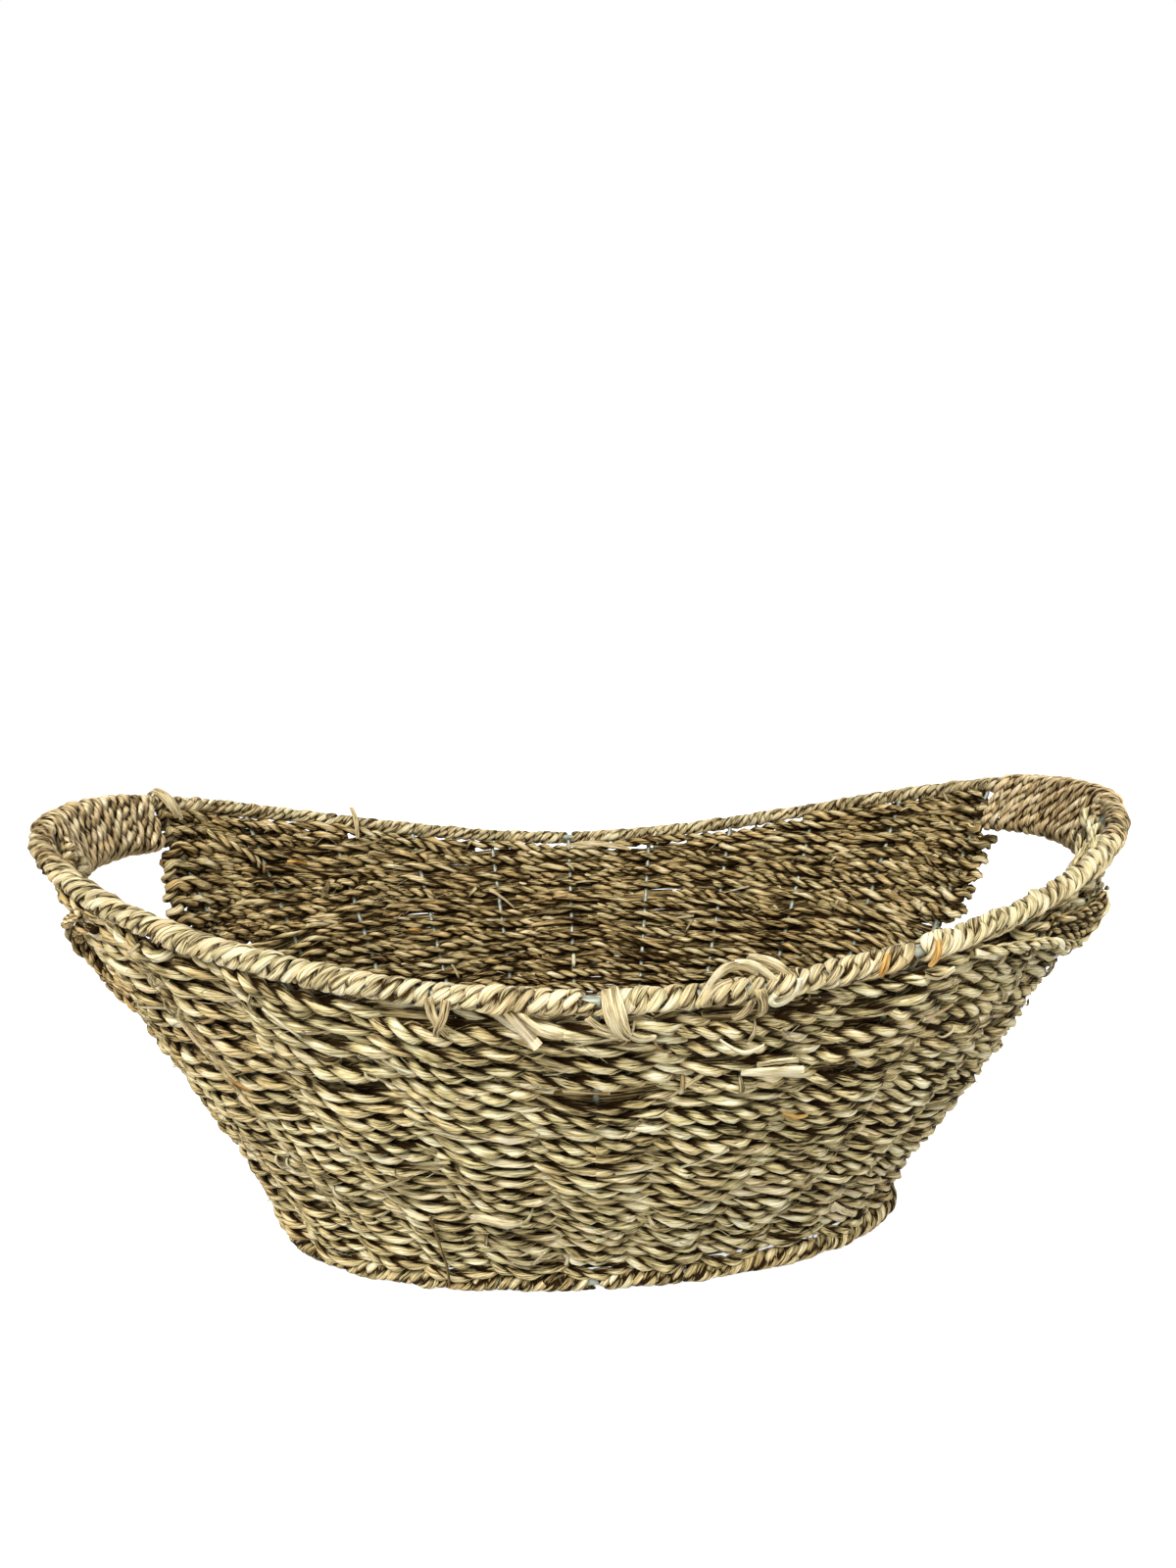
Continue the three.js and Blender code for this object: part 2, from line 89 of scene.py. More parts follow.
# How far the turns beside a hand opening reach into it: all of it from the second of these drops below the
# grip, and on the left some more for each millimetre below that
LOOP_REACH_LEFT = 7.5
LOOP_SPREAD_LEFT = 0.32
LOOP_REACH_RIGHT = 8.5
LOOP_REACH_DROPS = (4.0, 11.0)
EDGE_ROPE_START = 4.1

# Under the rim's ends the upper rows of the front draw in, left and right, and swell below that on the right.
# A ramp is where a change starts and how long it takes, in millimetres below the rim, or else in stakes
END_NOTCHES = (2.5, 4.5)
NOTCH_RAMP = (16, 8)
END_BULGE = 4.5
BULGE_RISE_RAMP = (20, 6)
BULGE_FALL_RAMP = (38, 10)
SWELL_STAKES_RAMP = (3.5, 1.1)

# Dark blades between the rows, painted shade for the shadow in the gaps of the weave: rows of them above the
# full turns, and where they end, in stakes and mm
SHADE_FILLER_UPPER_ROWS = 17
SHADE_FILLER_REACH = 4.6
SHADE_FILLER_TOP_GAP = 9.0

# The wall is a little hollow above the base, broadly at the left end and close to the base at the right one,
# and a little full further up on the right, as shares of how far it leans out. A hollow lies lower the higher
# its power is, and its peak is what the curve comes to there
LEFT_HOLLOW = 0.05
LEFT_HOLLOW_POWER = 4
LEFT_HOLLOW_PEAK = 0.0819
RIGHT_HOLLOW = 0.1
RIGHT_HOLLOW_POWER = 8
RIGHT_HOLLOW_PEAK = 0.0433
RIGHT_FULLNESS = 0.02

# Rope of the wall: two plies twisted together
ROPE_HALF_DEPTH = 3.1
ROPE_HALF_HEIGHT = 3.05
BACK_THINNESS = 0.14
# How much the grass at the back is darkened with painted shade
BACK_SHADE = 0.17
ROPE_LAY = 21.0
ROPE_STEP = 1.5
WEAVE_SWING = 3.5
UPPER_SWING = 3.1
FOOT_SINK = 0.9
PRESSED_SHARE = 0.9
PLY_OFFSET_SHARE = 0.74
PLY_ANGLES = np.radians([-90, -76, -48, -18, 18, 48, 76])

# What varies along a rope: how much, and over how many millimetres
LAY_PACE = (0.38, 52)
LAY_DRIFT = (1.5, 42)
TWIST_SLIP = 0.5
TWIST_SLIP_LAYS = 1.3
PLY_BULGE = (1.4, 11)
BLADE_BULGE_WAVE = 6
PLY_TONE = (0.2, 26)
BLADE_TONE = (0.16, 9)
PATCH_TONE = (0.24, 15)
PATCH_RAMP = (0.4, 0.3)
PLY_WARMTH = (0.32, 34)
# Painted shade at the top and bottom of a rope, where it touches the rows beside it: how much its crest value
# drops there
GROOVE_SHADE = 0.75

# How widely the grass material reads its streaks from one rope to the next, in millimetres along the grass
STREAK_STARTS = 900

HOOP_SAMPLES = 9601
NEARBY_PLACE = 0.25

rng = np.random.default_rng(20)


def unit(vectors):
    """The vectors at length one."""
    return vectors / np.linalg.norm(vectors, axis=-1, keepdims=True)


def square_to(way, side):
    """Each side turned square to its way, at length one."""
    return unit(side - way * np.sum(side * way, axis=1, keepdims=True))


def spans(points):
    """The distance from each point of a line to the next."""
    return np.linalg.norm(np.diff(points, axis=0), axis=1)


def distances_along(points):
    """How far along its line each point is."""
    return np.concatenate([[0], np.cumsum(spans(points))])


def smoothstep(value):
    """Eased from 0 to 1."""
    value = np.clip(value, 0, 1)
    return value * value * (3 - 2 * value)


def ramp(value, start, length):
    """Eased from 0 where the value is at the start to 1 where it is a length further on."""
    return smoothstep((value - start) / length)


def mix(low, high, share):
    return low + (high - low) * share


def rim_height(x):
    return RIM_LOW_HEIGHT + RIM_END_RISE * np.abs(x / RIM_HALF_LENGTH) ** RIM_RISE_POWER


def oval_hoop(half_length, half_width, height_at, right_fullness=OVAL_FULLNESS):
    """Points round an oval from the middle of the front, and the share of its length at each."""
    turn = np.linspace(0, 2 * math.pi, HOOP_SAMPLES)
    power = 2 / np.where(np.sin(turn) > 0, right_fullness, OVAL_FULLNESS)
    x = half_length * np.sign(np.sin(turn)) * np.abs(np.sin(turn)) ** power
    y = -half_width * np.sign(np.cos(turn)) * np.abs(np.cos(turn)) ** power
    points = np.stack([x, y, height_at(x)], axis=1)
    reached = distances_along(points)
    return points, reached / reached[-1], reached[-1]


RIM_HOOP = oval_hoop(RIM_HALF_LENGTH, RIM_HALF_WIDTH, rim_height)
BASE_HOOP = oval_hoop(BASE_HALF_LENGTH, BASE_HALF_WIDTH, lambda x: np.full_like(x, BASE_HEIGHT),
                      RIGHT_BASE_FULLNESS)


def stake_shares():
    """The share of the hoop's length at each stake, from the front's middle once round to it again."""
    shares = np.zeros(STAKES_AROUND + 1)
    shift = STAKE_SHIFT / RIM_HOOP[2]
    for side in range(-EDGE_STAKE, EDGE_STAKE + 1):
        share = side / STAKES_AROUND + shift * (1 - abs(side) / EDGE_STAKE)
        if side >= 0:
            shares[side] = share
        else:
            shares[STAKES_AROUND + side] = 1 + share
        shares[BACK_STAKE - side] = 0.5 - share
    shares[TIP_STAKE] = 0.25
    shares[STAKES_AROUND - TIP_STAKE] = 0.75
    shares[STAKES_AROUND] = 1 + shares[0]
    return shares


STAKE_SHARES = stake_shares()


def hoop_at(hoop, place):
    """The point of a hoop at a place."""
    place = np.asarray(place, float)
    laps = np.floor(place / STAKES_AROUND)
    share = np.interp(place - laps * STAKES_AROUND, np.arange(STAKES_AROUND + 1), STAKE_SHARES) % 1
    points, shares, _ = hoop
    return np.stack([np.interp(share, shares, points[:, axis]) for axis in range(3)], axis=-1)


def rim_at(place):
    return hoop_at(RIM_HOOP, place)


def base_at(place):
    return hoop_at(BASE_HOOP, place)


def wall_point(place, level):
    """A point of the wall, which leans out from the base hoop to the rim."""
    level = np.asarray(level, float)[..., None]
    base, rim = base_at(place), rim_at(place)
    straight = mix(base, rim, level)
    inside = np.clip(level, 0, 1)
    left_shift = LEFT_HOLLOW * inside * (1 - inside) ** LEFT_HOLLOW_POWER / LEFT_HOLLOW_PEAK
    right_shift = RIGHT_HOLLOW * inside * (1 - inside) ** RIGHT_HOLLOW_POWER / RIGHT_HOLLOW_PEAK
    right_shift = right_shift - RIGHT_FULLNESS * 4 * inside * (1 - inside)
    right = smoothstep(0.5 + base[..., :1] / BASE_HALF_LENGTH / 2)
    return straight + (base - rim) * [1, 1, 0] * mix(left_shift, right_shift, right)


def wall_slope(place):
    return unit(rim_at(place) - base_at(place))


def wall_length(place):
    return np.linalg.norm(rim_at(place) - base_at(place), axis=-1)


def wall_normal(place):
    """Outwards from the wall."""
    middle = np.full(np.shape(place), 0.5)
    around = wall_point(place + NEARBY_PLACE, middle) - wall_point(place - NEARBY_PLACE, middle)
    return unit(np.cross(around, wall_slope(place)))


def around_rim(place):
    return unit(rim_at(place + NEARBY_PLACE) - rim_at(place - NEARBY_PLACE))


def level_at(place, height):
    """The level of the wall that lies this high."""
    return (height - BASE_HEIGHT) / (rim_at(place)[..., 2] - BASE_HEIGHT)


def smooth_noise(along, length, wave, lanes=1):
    """Random values from -1 to 1 that change smoothly along a rope, with one column for each lane."""
    count = max(3, round(length / wave))
    knots = rng.uniform(-1, 1, (count, lanes))
    spot = along / length * count
    first = np.floor(spot).astype(int)
    share = smoothstep(spot - first)[:, None]
    return mix(knots[first % count], knots[(first + 1) % count], share)


def varied(amount_and_wave, along, length):
    """Smooth random change along a rope, by the amount and over the length given."""
    amount, wave = amount_and_wave
    return amount * smooth_noise(along, length, wave)[:, 0]


class Section:
    """The outline of a rope or blade: an angle and a reach for each corner, and which ply it is on."""

    def __init__(self, angles, reach, plies):
        self.angles = angles
        self.reach = reach
        self.plies = plies
        self.sides = len(angles)
        # The crest is 1 on the tops of the plies and 0 in the groove between them, where the grass material
        # paints shade
        self.crest = np.ones(self.sides)
        if plies.max() > 0:
            self.crest = (reach - reach.min()) / (reach.max() - reach.min())


def two_ply_section():
    """Two round plies side by side, with a groove between them."""
    angles = np.concatenate([PLY_ANGLES, PLY_ANGLES + math.pi])
    across = PLY_OFFSET_SHARE * np.sin(angles)
    reach = PLY_OFFSET_SHARE * np.abs(np.cos(angles)) + np.sqrt(1 - across**2)
    return Section(angles, reach / (1 + PLY_OFFSET_SHARE), np.arange(len(angles)) // len(PLY_ANGLES))


def blade_section():
    """A flat leaf, folded a little along its middle."""
    angles = np.radians([0, 62, 118, 180, 242, 298])
    reach = np.array([1.0, 0.9, 0.9, 0.6, 0.9, 0.9])
    return Section(angles, reach, np.zeros(6, int))


def fibre_section():
    """A thin square fibre."""
    return Section(np.radians([0, 90, 180, 270]), np.ones(4), np.zeros(4, int))


ROPE = two_ply_section()
BLADE = blade_section()
FIBRE = fibre_section()


def mark_for_grass(mesh, uvs, tones, warmths, crests):
    """Gives a mesh the UV map and the values at its corners that the grass material reads."""
    layer = mesh.uv_layers.new(name="Along")
    layer.data.foreach_set("uv", uvs.astype(np.float32).ravel())
    for label, values in (("tone", tones), ("warmth", warmths), ("crest", crests)):
        attribute = mesh.attributes.new(label, "FLOAT", "POINT")
        attribute.data.foreach_set("value", values.astype(np.float32))


class RopeMesh:
    """Gathers twisted ropes into one mesh, with what the grass material needs to know about each corner."""

    def __init__(self):
        self.corners = []
        self.faces = []
        self.uvs = []
        self.tones = []
        self.warmths = []
        self.crests = []
        self.total = 0

    def add(self, points, side, half_depth, half_height, lay=ROPE_LAY, tone=0.5, warmth=0.3,
            roughness=0.1, closed=False, section=ROPE, untwist=0.65):
        """One rope along the points. Side points away from what the rope lies on.

        Untwist is how far the blades in a ply turn back against the twist, so that they run along the rope.
        """
        count = len(points)
        if closed:
            way = np.roll(points, -1, axis=0) - np.roll(points, 1, axis=0)
        else:
            way = np.gradient(points, axis=0)
        way = unit(way)
        side = square_to(way, side)
        up = np.cross(side, way)
        steps = np.linalg.norm(np.diff(points, axis=0, append=points[:1]), axis=1)
        along = np.concatenate([[0], np.cumsum(steps)])
        length = along[-1] if closed else along[-2]
        spots = along[:count]
        if lay:
            pace = 1 + varied(LAY_PACE, spots, length)
            reached = np.concatenate([[0], np.cumsum(pace * steps)])
            whole = reached[-1] if closed else reached[-2]
            turns = max(1, round(length / lay))
            twist = rng.uniform(0, 2 * math.pi) - 2 * math.pi * turns * reached[:count] / whole
            twist = twist + TWIST_SLIP * smooth_noise(spots, length, lay * TWIST_SLIP_LAYS)[:, 0]
            twist = twist + varied(LAY_DRIFT, spots, length)
        else:
            twist = np.zeros(count)
        angle = section.angles[None, :] + twist[:, None]
        bulge = PLY_BULGE[0] * roughness * smooth_noise(spots, length, PLY_BULGE[1], 2)[:, section.plies]
        reach = section.reach[None, :] * (1 + bulge)
        reach = reach * (1 + roughness * smooth_noise(spots, length, BLADE_BULGE_WAVE, section.sides))
        deep = (reach * np.cos(angle) * np.broadcast_to(half_depth, count)[:, None])[..., None]
        high = (reach * np.sin(angle) * np.broadcast_to(half_height, count)[:, None])[..., None]
        ring = points[:, None, :] + side[:, None, :] * deep + up[:, None, :] * high

        plies = PLY_TONE[0] * smooth_noise(spots, length, PLY_TONE[1], 2)[:, section.plies]
        blades = BLADE_TONE[0] * smooth_noise(spots, length, BLADE_TONE[1], section.sides)
        patches = ramp(smooth_noise(spots, length, PATCH_TONE[1], 2)[:, section.plies], *PATCH_RAMP)
        shade = np.broadcast_to(tone, count)[:, None] + plies + blades + PATCH_TONE[0] * patches
        warm = np.broadcast_to(warmth, count)[:, None]
        warm = warm + PLY_WARMTH[0] * smooth_noise(spots, length, PLY_WARMTH[1], 2)[:, section.plies]
        # The crest value, low in the groove between the plies and at the top and bottom where the rows touch,
        # sets the painted shade
        crest = section.crest[None, :] * (1 - GROOVE_SHADE * np.abs(np.sin(angle)) ** 3)
        self.tones.append(shade.ravel())
        self.warmths.append(warm.ravel())
        self.crests.append(crest.ravel())
        self.corners.append(ring.reshape(-1, 3))
        self.add_skin(section, along, untwist * twist / (2 * math.pi), closed)
        self.total += count * section.sides

    def add_skin(self, section, along, turned, closed):
        """Faces round the rope, and a cap at each end of an open one. Each ply has blades of its own."""
        around = section.sides
        count = len(turned)
        spans = count if closed else count - 1
        i = np.arange(spans)[:, None]
        j = np.arange(around)[None, :]
        row = self.total + i * around
        after = self.total + ((i + 1) % count) * around
        next_j = (j + 1) % around
        quads = np.stack([row + j, after + j, after + next_j, row + next_j], axis=-1)
        self.faces.extend(quads.reshape(-1, 4).tolist())
        start = rng.uniform(0, STREAK_STARTS, 2)[section.plies][None, :]
        turned = np.append(turned, 2 * turned[-1] - turned[-2])
        u = start + along[i]
        u_after = start + along[i + 1]
        v = j / around + turned[i]
        v_after = j / around + turned[i + 1]
        corners = [(u, v), (u_after, v_after), (u_after, v_after + 1 / around), (u, v + 1 / around)]
        self.uvs.append(np.stack([np.stack(c, axis=-1) for c in corners], axis=2).reshape(-1, 2))
        if not closed:
            first = self.total + np.arange(around)
            last = first + (count - 1) * around
            self.faces.append(first.tolist())
            self.faces.append(last[::-1].tolist())
            self.uvs.append(np.full((2 * around, 2), start[0, 0]))

    def finish(self, name, material, slot, *nodes):
        """Makes the piece, which stands for the named nodes of the model."""
        mesh = bpy.data.meshes.new(name)
        mesh.from_pydata((np.concatenate(self.corners) * MM).tolist(), [], self.faces)
        gathered = (self.uvs, self.tones, self.warmths, self.crests)
        mark_for_grass(mesh, *(np.concatenate(values) for values in gathered))
        mesh.shade_smooth()
        piece = bpy.data.objects.new(name, mesh)
        bpy.context.scene.collection.objects.link(piece)
        return settle(piece, material, slot, *nodes)


def settle(piece, material, slot, *nodes):
    """Gives a finished piece its material and its body, and hides the nodes it stands for. The slot is not
    used.
    """
    piece.data.materials.clear()
    piece.data.materials.append(material)
    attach(piece, "root")
    if nodes:
        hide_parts(*nodes)
    return piece


# Materials

def new_material(name):
    """A material, its tree of nodes and its shader."""
    material = bpy.data.materials.new(name)
    material.use_nodes = True
    tree = material.node_tree
    return material, tree, tree.nodes["Principled BSDF"]


def linear(*srgb):
    """A colour as read on a screen, from 0 to 255, turned into the light that a shader wants."""
    return tuple(((c / 255 + 0.055) / 1.055) ** 2.4 for c in srgb)


def add_node(tree, kind, inputs=(), **settings):
    """A node with its settings, and its inputs set to values or linked to other nodes' outputs."""
    node = tree.nodes.new(kind)
    for key, value in settings.items():
        setattr(node, key, value)
    for key, value in dict(inputs).items():
        if isinstance(value, bpy.types.NodeSocket):
            tree.links.new(value, node.inputs[key])
        else:
            node.inputs[key].default_value = value
    return node


def do_math(tree, operation, first, second=0.5, clamp=False):
    node = add_node(tree, "ShaderNodeMath", {0: first, 1: second}, operation=operation, use_clamp=clamp)
    return node.outputs[0]


def blend_colour(tree, share, low, high, kind="MIX"):
    node = add_node(tree, "ShaderNodeMix", data_type="RGBA", blend_type=kind)
    for name, value in (("Factor", share), ("A", low), ("B", high)):
        socket = next(s for s in node.inputs if s.name == name and s.enabled)
        if isinstance(value, bpy.types.NodeSocket):
            tree.links.new(value, socket)
        else:
            socket.default_value = value
    return next(s for s in node.outputs if s.enabled)


# Streaks beside the broad ones: how many there are to one of those, along and round, and a slice of the noise
FINE_STREAKS = (1.6, 3.7, 7.0)
SPLITS = (0.7, 1.9, 3.0)
SPLIT_SHARPNESS = 22.0
BROAD_SHARE = 0.45
STREAK_CONTRAST = 5.0
CRACK_SHADE = 0.3
BROWN_GAIN = 0.8
GREEN_GAIN = -1.6
DULLEST = 0.78
FIBRE_GLOSS = 0.3
CRACK_DEPTH = 0.5
GRASS_BUMP = 0.0006
GRASS_SHINE = 0.06
GRASS_BROWN = linear(236, 204, 168)
GRASS_GREEN = linear(232, 238, 222)


def streak_noise(tree, along, round_it, slicing, settings):
    """Noise drawn out along the grass, finer or coarser than the broad streaks."""
    times_along, times_round, slice_height = slicing
    spot_round = do_math(tree, "MULTIPLY", round_it, times_round)
    spot_along = do_math(tree, "MULTIPLY", along, times_along)
    spot = add_node(tree, "ShaderNodeCombineXYZ", {0: spot_along, 1: spot_round, 2: slice_height})
    return add_node(tree, "ShaderNodeTexNoise", {"Vector": spot.outputs[0], "Scale": 1.0, **settings})


def seagrass_group():
    """Twisted grass: long fibre streaks, pale and brown plies, painted shade in the grooves and where the
    rows touch, and a little green.
    """
    group = bpy.data.node_groups.new("Seagrass fibres", "ShaderNodeTree")
    face = group.interface
    for name in ("Pale", "Middle", "Shade", "Brown", "Green"):
        face.new_socket(name, in_out="INPUT", socket_type="NodeSocketColor")
    for name, value in (("Streak Length", 14.0), ("Streaks Round", 9.0), ("Contrast", 0.5), ("Painted Groove Shade", 0.9)):
        face.new_socket(name, in_out="INPUT", socket_type="NodeSocketFloat").default_value = value
    face.new_socket("Color", in_out="OUTPUT", socket_type="NodeSocketColor")
    for name in ("Roughness", "Height"):
        face.new_socket(name, in_out="OUTPUT", socket_type="NodeSocketFloat")
    given = group.nodes.new("NodeGroupInput").outputs
    made = group.nodes.new("NodeGroupOutput").inputs

    uv = add_node(group, "ShaderNodeUVMap", uv_map="Along")
    parts = add_node(group, "ShaderNodeSeparateXYZ", {0: uv.outputs[0]})
    along = do_math(group, "DIVIDE", parts.outputs[0], given["Streak Length"])
    round_it = do_math(group, "MULTIPLY", parts.outputs[1], given["Streaks Round"])
    spot = add_node(group, "ShaderNodeCombineXYZ", {0: along, 1: round_it})
    broad = add_node(group, "ShaderNodeTexNoise", {"Vector": spot.outputs[0], "Scale": 1.0, "Detail": 2.0})
    fine = streak_noise(group, along, round_it, FINE_STREAKS, {"Detail": 3.0, "Roughness": 0.6})
    split = streak_noise(group, along, round_it, SPLITS, {})
    off_middle = do_math(group, "ABSOLUTE", do_math(group, "SUBTRACT", split.outputs[0], 0.5))
    unsplit = do_math(group, "MULTIPLY", off_middle, SPLIT_SHARPNESS, clamp=True)
    fibres = do_math(group, "ADD", do_math(group, "MULTIPLY", broad.outputs[0], BROAD_SHARE),
                     do_math(group, "MULTIPLY", fine.outputs[0], 1 - BROAD_SHARE))
    tone = add_node(group, "ShaderNodeAttribute", attribute_name="tone").outputs["Fac"]
    warmth = add_node(group, "ShaderNodeAttribute", attribute_name="warmth").outputs["Fac"]
    crest = add_node(group, "ShaderNodeAttribute", attribute_name="crest").outputs["Fac"]
    swing = do_math(group, "MULTIPLY", do_math(group, "SUBTRACT", fibres, 0.5), given["Contrast"])
    light = do_math(group, "ADD", tone, do_math(group, "MULTIPLY", swing, STREAK_CONTRAST))
    crack = do_math(group, "MULTIPLY", do_math(group, "SUBTRACT", 1.0, unsplit), CRACK_SHADE)
    light = do_math(group, "SUBTRACT", light, crack)
    # Painted shade: darker where the crest value is low, in the grooves between the plies and where the rows
    # touch
    hollow = do_math(group, "POWER", do_math(group, "SUBTRACT", 1.0, crest, clamp=True), 3.0)
    hollow = do_math(group, "MULTIPLY", hollow, given["Painted Groove Shade"])
    light = do_math(group, "SUBTRACT", light, hollow, clamp=True)
    low_share = do_math(group, "MULTIPLY", light, 2.0, clamp=True)
    high_share = do_math(group, "MULTIPLY", do_math(group, "SUBTRACT", light, 0.5, clamp=True), 2.0)
    colour = blend_colour(group, low_share, given["Shade"], given["Middle"])
    colour = blend_colour(group, high_share, colour, given["Pale"])
    warm_share = do_math(group, "MULTIPLY", warmth, BROWN_GAIN, clamp=True)
    colour = blend_colour(group, warm_share, colour, given["Brown"], "MULTIPLY")
    green_share = do_math(group, "MULTIPLY", warmth, GREEN_GAIN, clamp=True)
    colour = blend_colour(group, green_share, colour, given["Green"], "MULTIPLY")
    group.links.new(colour, made["Color"])
    rough = do_math(group, "SUBTRACT", DULLEST, do_math(group, "MULTIPLY", fibres, FIBRE_GLOSS))
    group.links.new(rough, made["Roughness"])
    relief = do_math(group, "ADD", fibres, do_math(group, "MULTIPLY", unsplit, CRACK_DEPTH))
    group.links.new(relief, made["Height"])
    return group


SEAGRASS = seagrass_group()


def grass_material(name, pale, middle, shade, streak_length, streaks_round, contrast, bump, painted_groove_shade):
    """Grass in three colours as read on a screen. The last value is how dark the painted shade is in the
    grooves between the plies and where the rows touch.
    """
    material, tree, shader = new_material(name)
    fibres = add_node(tree, "ShaderNodeGroup", node_tree=SEAGRASS)
    colours = {"Pale": linear(*pale), "Middle": linear(*middle), "Shade": linear(*shade)}
    colours.update({"Brown": GRASS_BROWN, "Green": GRASS_GREEN})
    for label, colour in colours.items():
        fibres.inputs[label].default_value = (*colour, 1)
    amounts = {"Streak Length": streak_length, "Streaks Round": streaks_round}
    amounts.update({"Contrast": contrast, "Painted Groove Shade": painted_groove_shade})
    for label, amount in amounts.items():
        fibres.inputs[label].default_value = amount
    height = add_node(tree, "ShaderNodeBump",
                      {"Strength": bump, "Distance": GRASS_BUMP, "Height": fibres.outputs["Height"]})
    tree.links.new(fibres.outputs["Color"], shader.inputs["Base Color"])
    tree.links.new(fibres.outputs["Roughness"], shader.inputs["Roughness"])
    tree.links.new(height.outputs[0], shader.inputs["Normal"])
    shader.inputs["Specular IOR Level"].default_value = GRASS_SHINE
    return material


wall_grass = grass_material("Wall seagrass", (248, 240, 206), (203, 185, 130), (40, 25, 2),
                            streak_length=14, streaks_round=10, contrast=0.75, bump=1.0, painted_groove_shade=0.95)
wrap_grass = grass_material("Pale wrapping cord", (240, 228, 192), (208, 190, 142), (58, 38, 8),
                            streak_length=12, streaks_round=9, contrast=0.7, bump=1.0, painted_groove_shade=0.6)
grip_grass = grass_material("Grip cord", (246, 230, 192), (203, 181, 133), (48, 31, 8),
                            streak_length=12, streaks_round=8, contrast=0.65, bump=1.0, painted_groove_shade=0.8)
rusty_grass = grass_material("Rust-stained strands", (232, 196, 124), (196, 150, 78), (96, 60, 20),
                             streak_length=12, streaks_round=8, contrast=0.6, bump=0.8, painted_groove_shade=0.8)
floor_grass = grass_material("Floor seagrass", (206, 184, 134), (140, 118, 78), (46, 32, 14),
                             streak_length=14, streaks_round=9, contrast=0.7, bump=0.9, painted_groove_shade=0.9)


def wire_material():
    """Grey-green paint on wire, thin and dull, with darker pits."""
    material, tree, shader = new_material("Painted wire")
    place = add_node(tree, "ShaderNodeTexCoord").outputs["Object"]
    spots = add_node(tree, "ShaderNodeTexNoise", {"Vector": place, "Scale": 420.0, "Detail": 4.0})
    share = add_node(tree, "ShaderNodeMapRange",
                     {0: spots.outputs[0], "From Min": 0.42, "From Max": 0.68}).outputs[0]
    paint = (*linear(146, 150, 134), 1)
    worn = (*linear(98, 98, 82), 1)
    tree.links.new(blend_colour(tree, share, paint, worn), shader.inputs["Base Color"])
    rough = add_node(tree, "ShaderNodeMapRange", {0: share, "To Min": 0.38, "To Max": 0.65}).outputs[0]
    tree.links.new(rough, shader.inputs["Roughness"])
    bump = add_node(tree, "ShaderNodeBump", {"Strength": 0.25, "Distance": 0.0002, "Height": share})
    tree.links.new(bump.outputs[0], shader.inputs["Normal"])
    shader.inputs["Metallic"].default_value = 0.25
    return material


painted_wire = wire_material()


# Wires: curves with a round bevel

HOOP_STEPS = 480
STAKE_STEPS = 9
BOW_STEPS = 24
STAKE_BEND = 4.0
BOW_BEND = 3.0
# These stakes reach the bare rim wire in the front, and the others end under the cord
BARE_STAKES = (0, 2)


def round_wire(name, points, radius, closed, *nodes):
    """A painted wire along the points, made as a curve and turned into a mesh."""
    curve = bpy.data.curves.new(name, "CURVE")
    curve.dimensions = "3D"
    curve.bevel_depth = radius * MM
    curve.bevel_resolution = 3
    curve.use_fill_caps = not closed
    spline = curve.splines.new("POLY")
    spline.points.add(len(points) - 1)
    spline.points.foreach_set("co", np.column_stack([points * MM, np.ones(len(points))]).ravel())
    spline.use_cyclic_u = closed
    wire = bpy.data.objects.new(name, curve)
    bpy.context.scene.collection.objects.link(wire)
    bpy.ops.object.select_all(action="DESELECT")
    wire.select_set(True)
    bpy.context.view_layer.objects.active = wire
    bpy.ops.object.convert(target="MESH")
    wire = bpy.context.view_layer.objects.active
    wire.data.shade_smooth()
    return settle(wire, painted_wire, "frame_wire", *nodes)


def rounded_corners(corners, radius, steps=6):
    """The corners of a bent wire, each but the ends turned into a small arc."""
    points = [corners[0]]
    for before, corner, after in zip(corners, corners[1:], corners[2:]):
        start = corner + unit(before - corner) * radius
        end = corner + unit(after - corner) * radius
        for step in range(steps + 1):
            share = step / steps
            points.append(mix(mix(start, corner, share), mix(corner, end, share), share))
    points.append(corners[-1])
    return np.array(points)


def make_hoops():
    lap = np.linspace(0, STAKES_AROUND, HOOP_STEPS, endpoint=False)
    round_wire("rim_hoop", rim_at(lap), HOOP_WIRE_RADIUS, True, "rim_wire")
    round_wire("base_hoop", base_at(lap), HOOP_WIRE_RADIUS, True, "base_wire")


def make_stakes():
    """Each long wire comes down the front, crosses under the floor and goes up the back."""
    for side in range(-EDGE_STAKE, EDGE_STAKE + 1):
        front, back = float(side), float(BACK_STAKE - side)
        carrier = HOOP_WIRE_RADIUS if side in BARE_STAKES else RIM_WRAP_RADIUS
        legs = []
        for place in (front, back):
            top = 1 - carrier / wall_length(place)
            foot = level_at(place, FLOOR_WIRE_HEIGHT)
            legs.append([wall_point(place, level) for level in np.linspace(top, foot, STAKE_STEPS)])
        number = side + EDGE_STAKE + 1
        corners = legs[0] + legs[1][::-1]
        round_wire(f"stake_{number:02d}", rounded_corners(corners, STAKE_BEND), STAKE_RADIUS, False,
                   f"cross_stake_{number:02d}")
    for label, tip in TIPS:
        tip = float(tip)
        foot = wall_point(tip, HOOP_WIRE_RADIUS / wall_length(tip))
        head = wall_point(tip, level_at(tip, TOP_COURSE_HEIGHT))
        round_wire(f"short_stake_{label}", np.array([foot, head]), STAKE_RADIUS, False,
                   f"end_stake_{label}")


def grip_wire_at(place):
    return wall_point(place, 1 - GRIP_DROP / wall_length(place))


def stakes_for(place, distance):
    """How many stakes a distance along the rim is, near a place."""
    half = rim_at(place + 0.5) - rim_at(place)
    return distance / (2 * np.linalg.norm(half))


def grip_span(tip):
    """The places between which the band of a grip lies."""
    start = tip - 1 + stakes_for(tip - 1.0, GRIP_CLEAR)
    end = tip + 1 - stakes_for(tip + 0.5, GRIP_CLEAR)
    return start, end


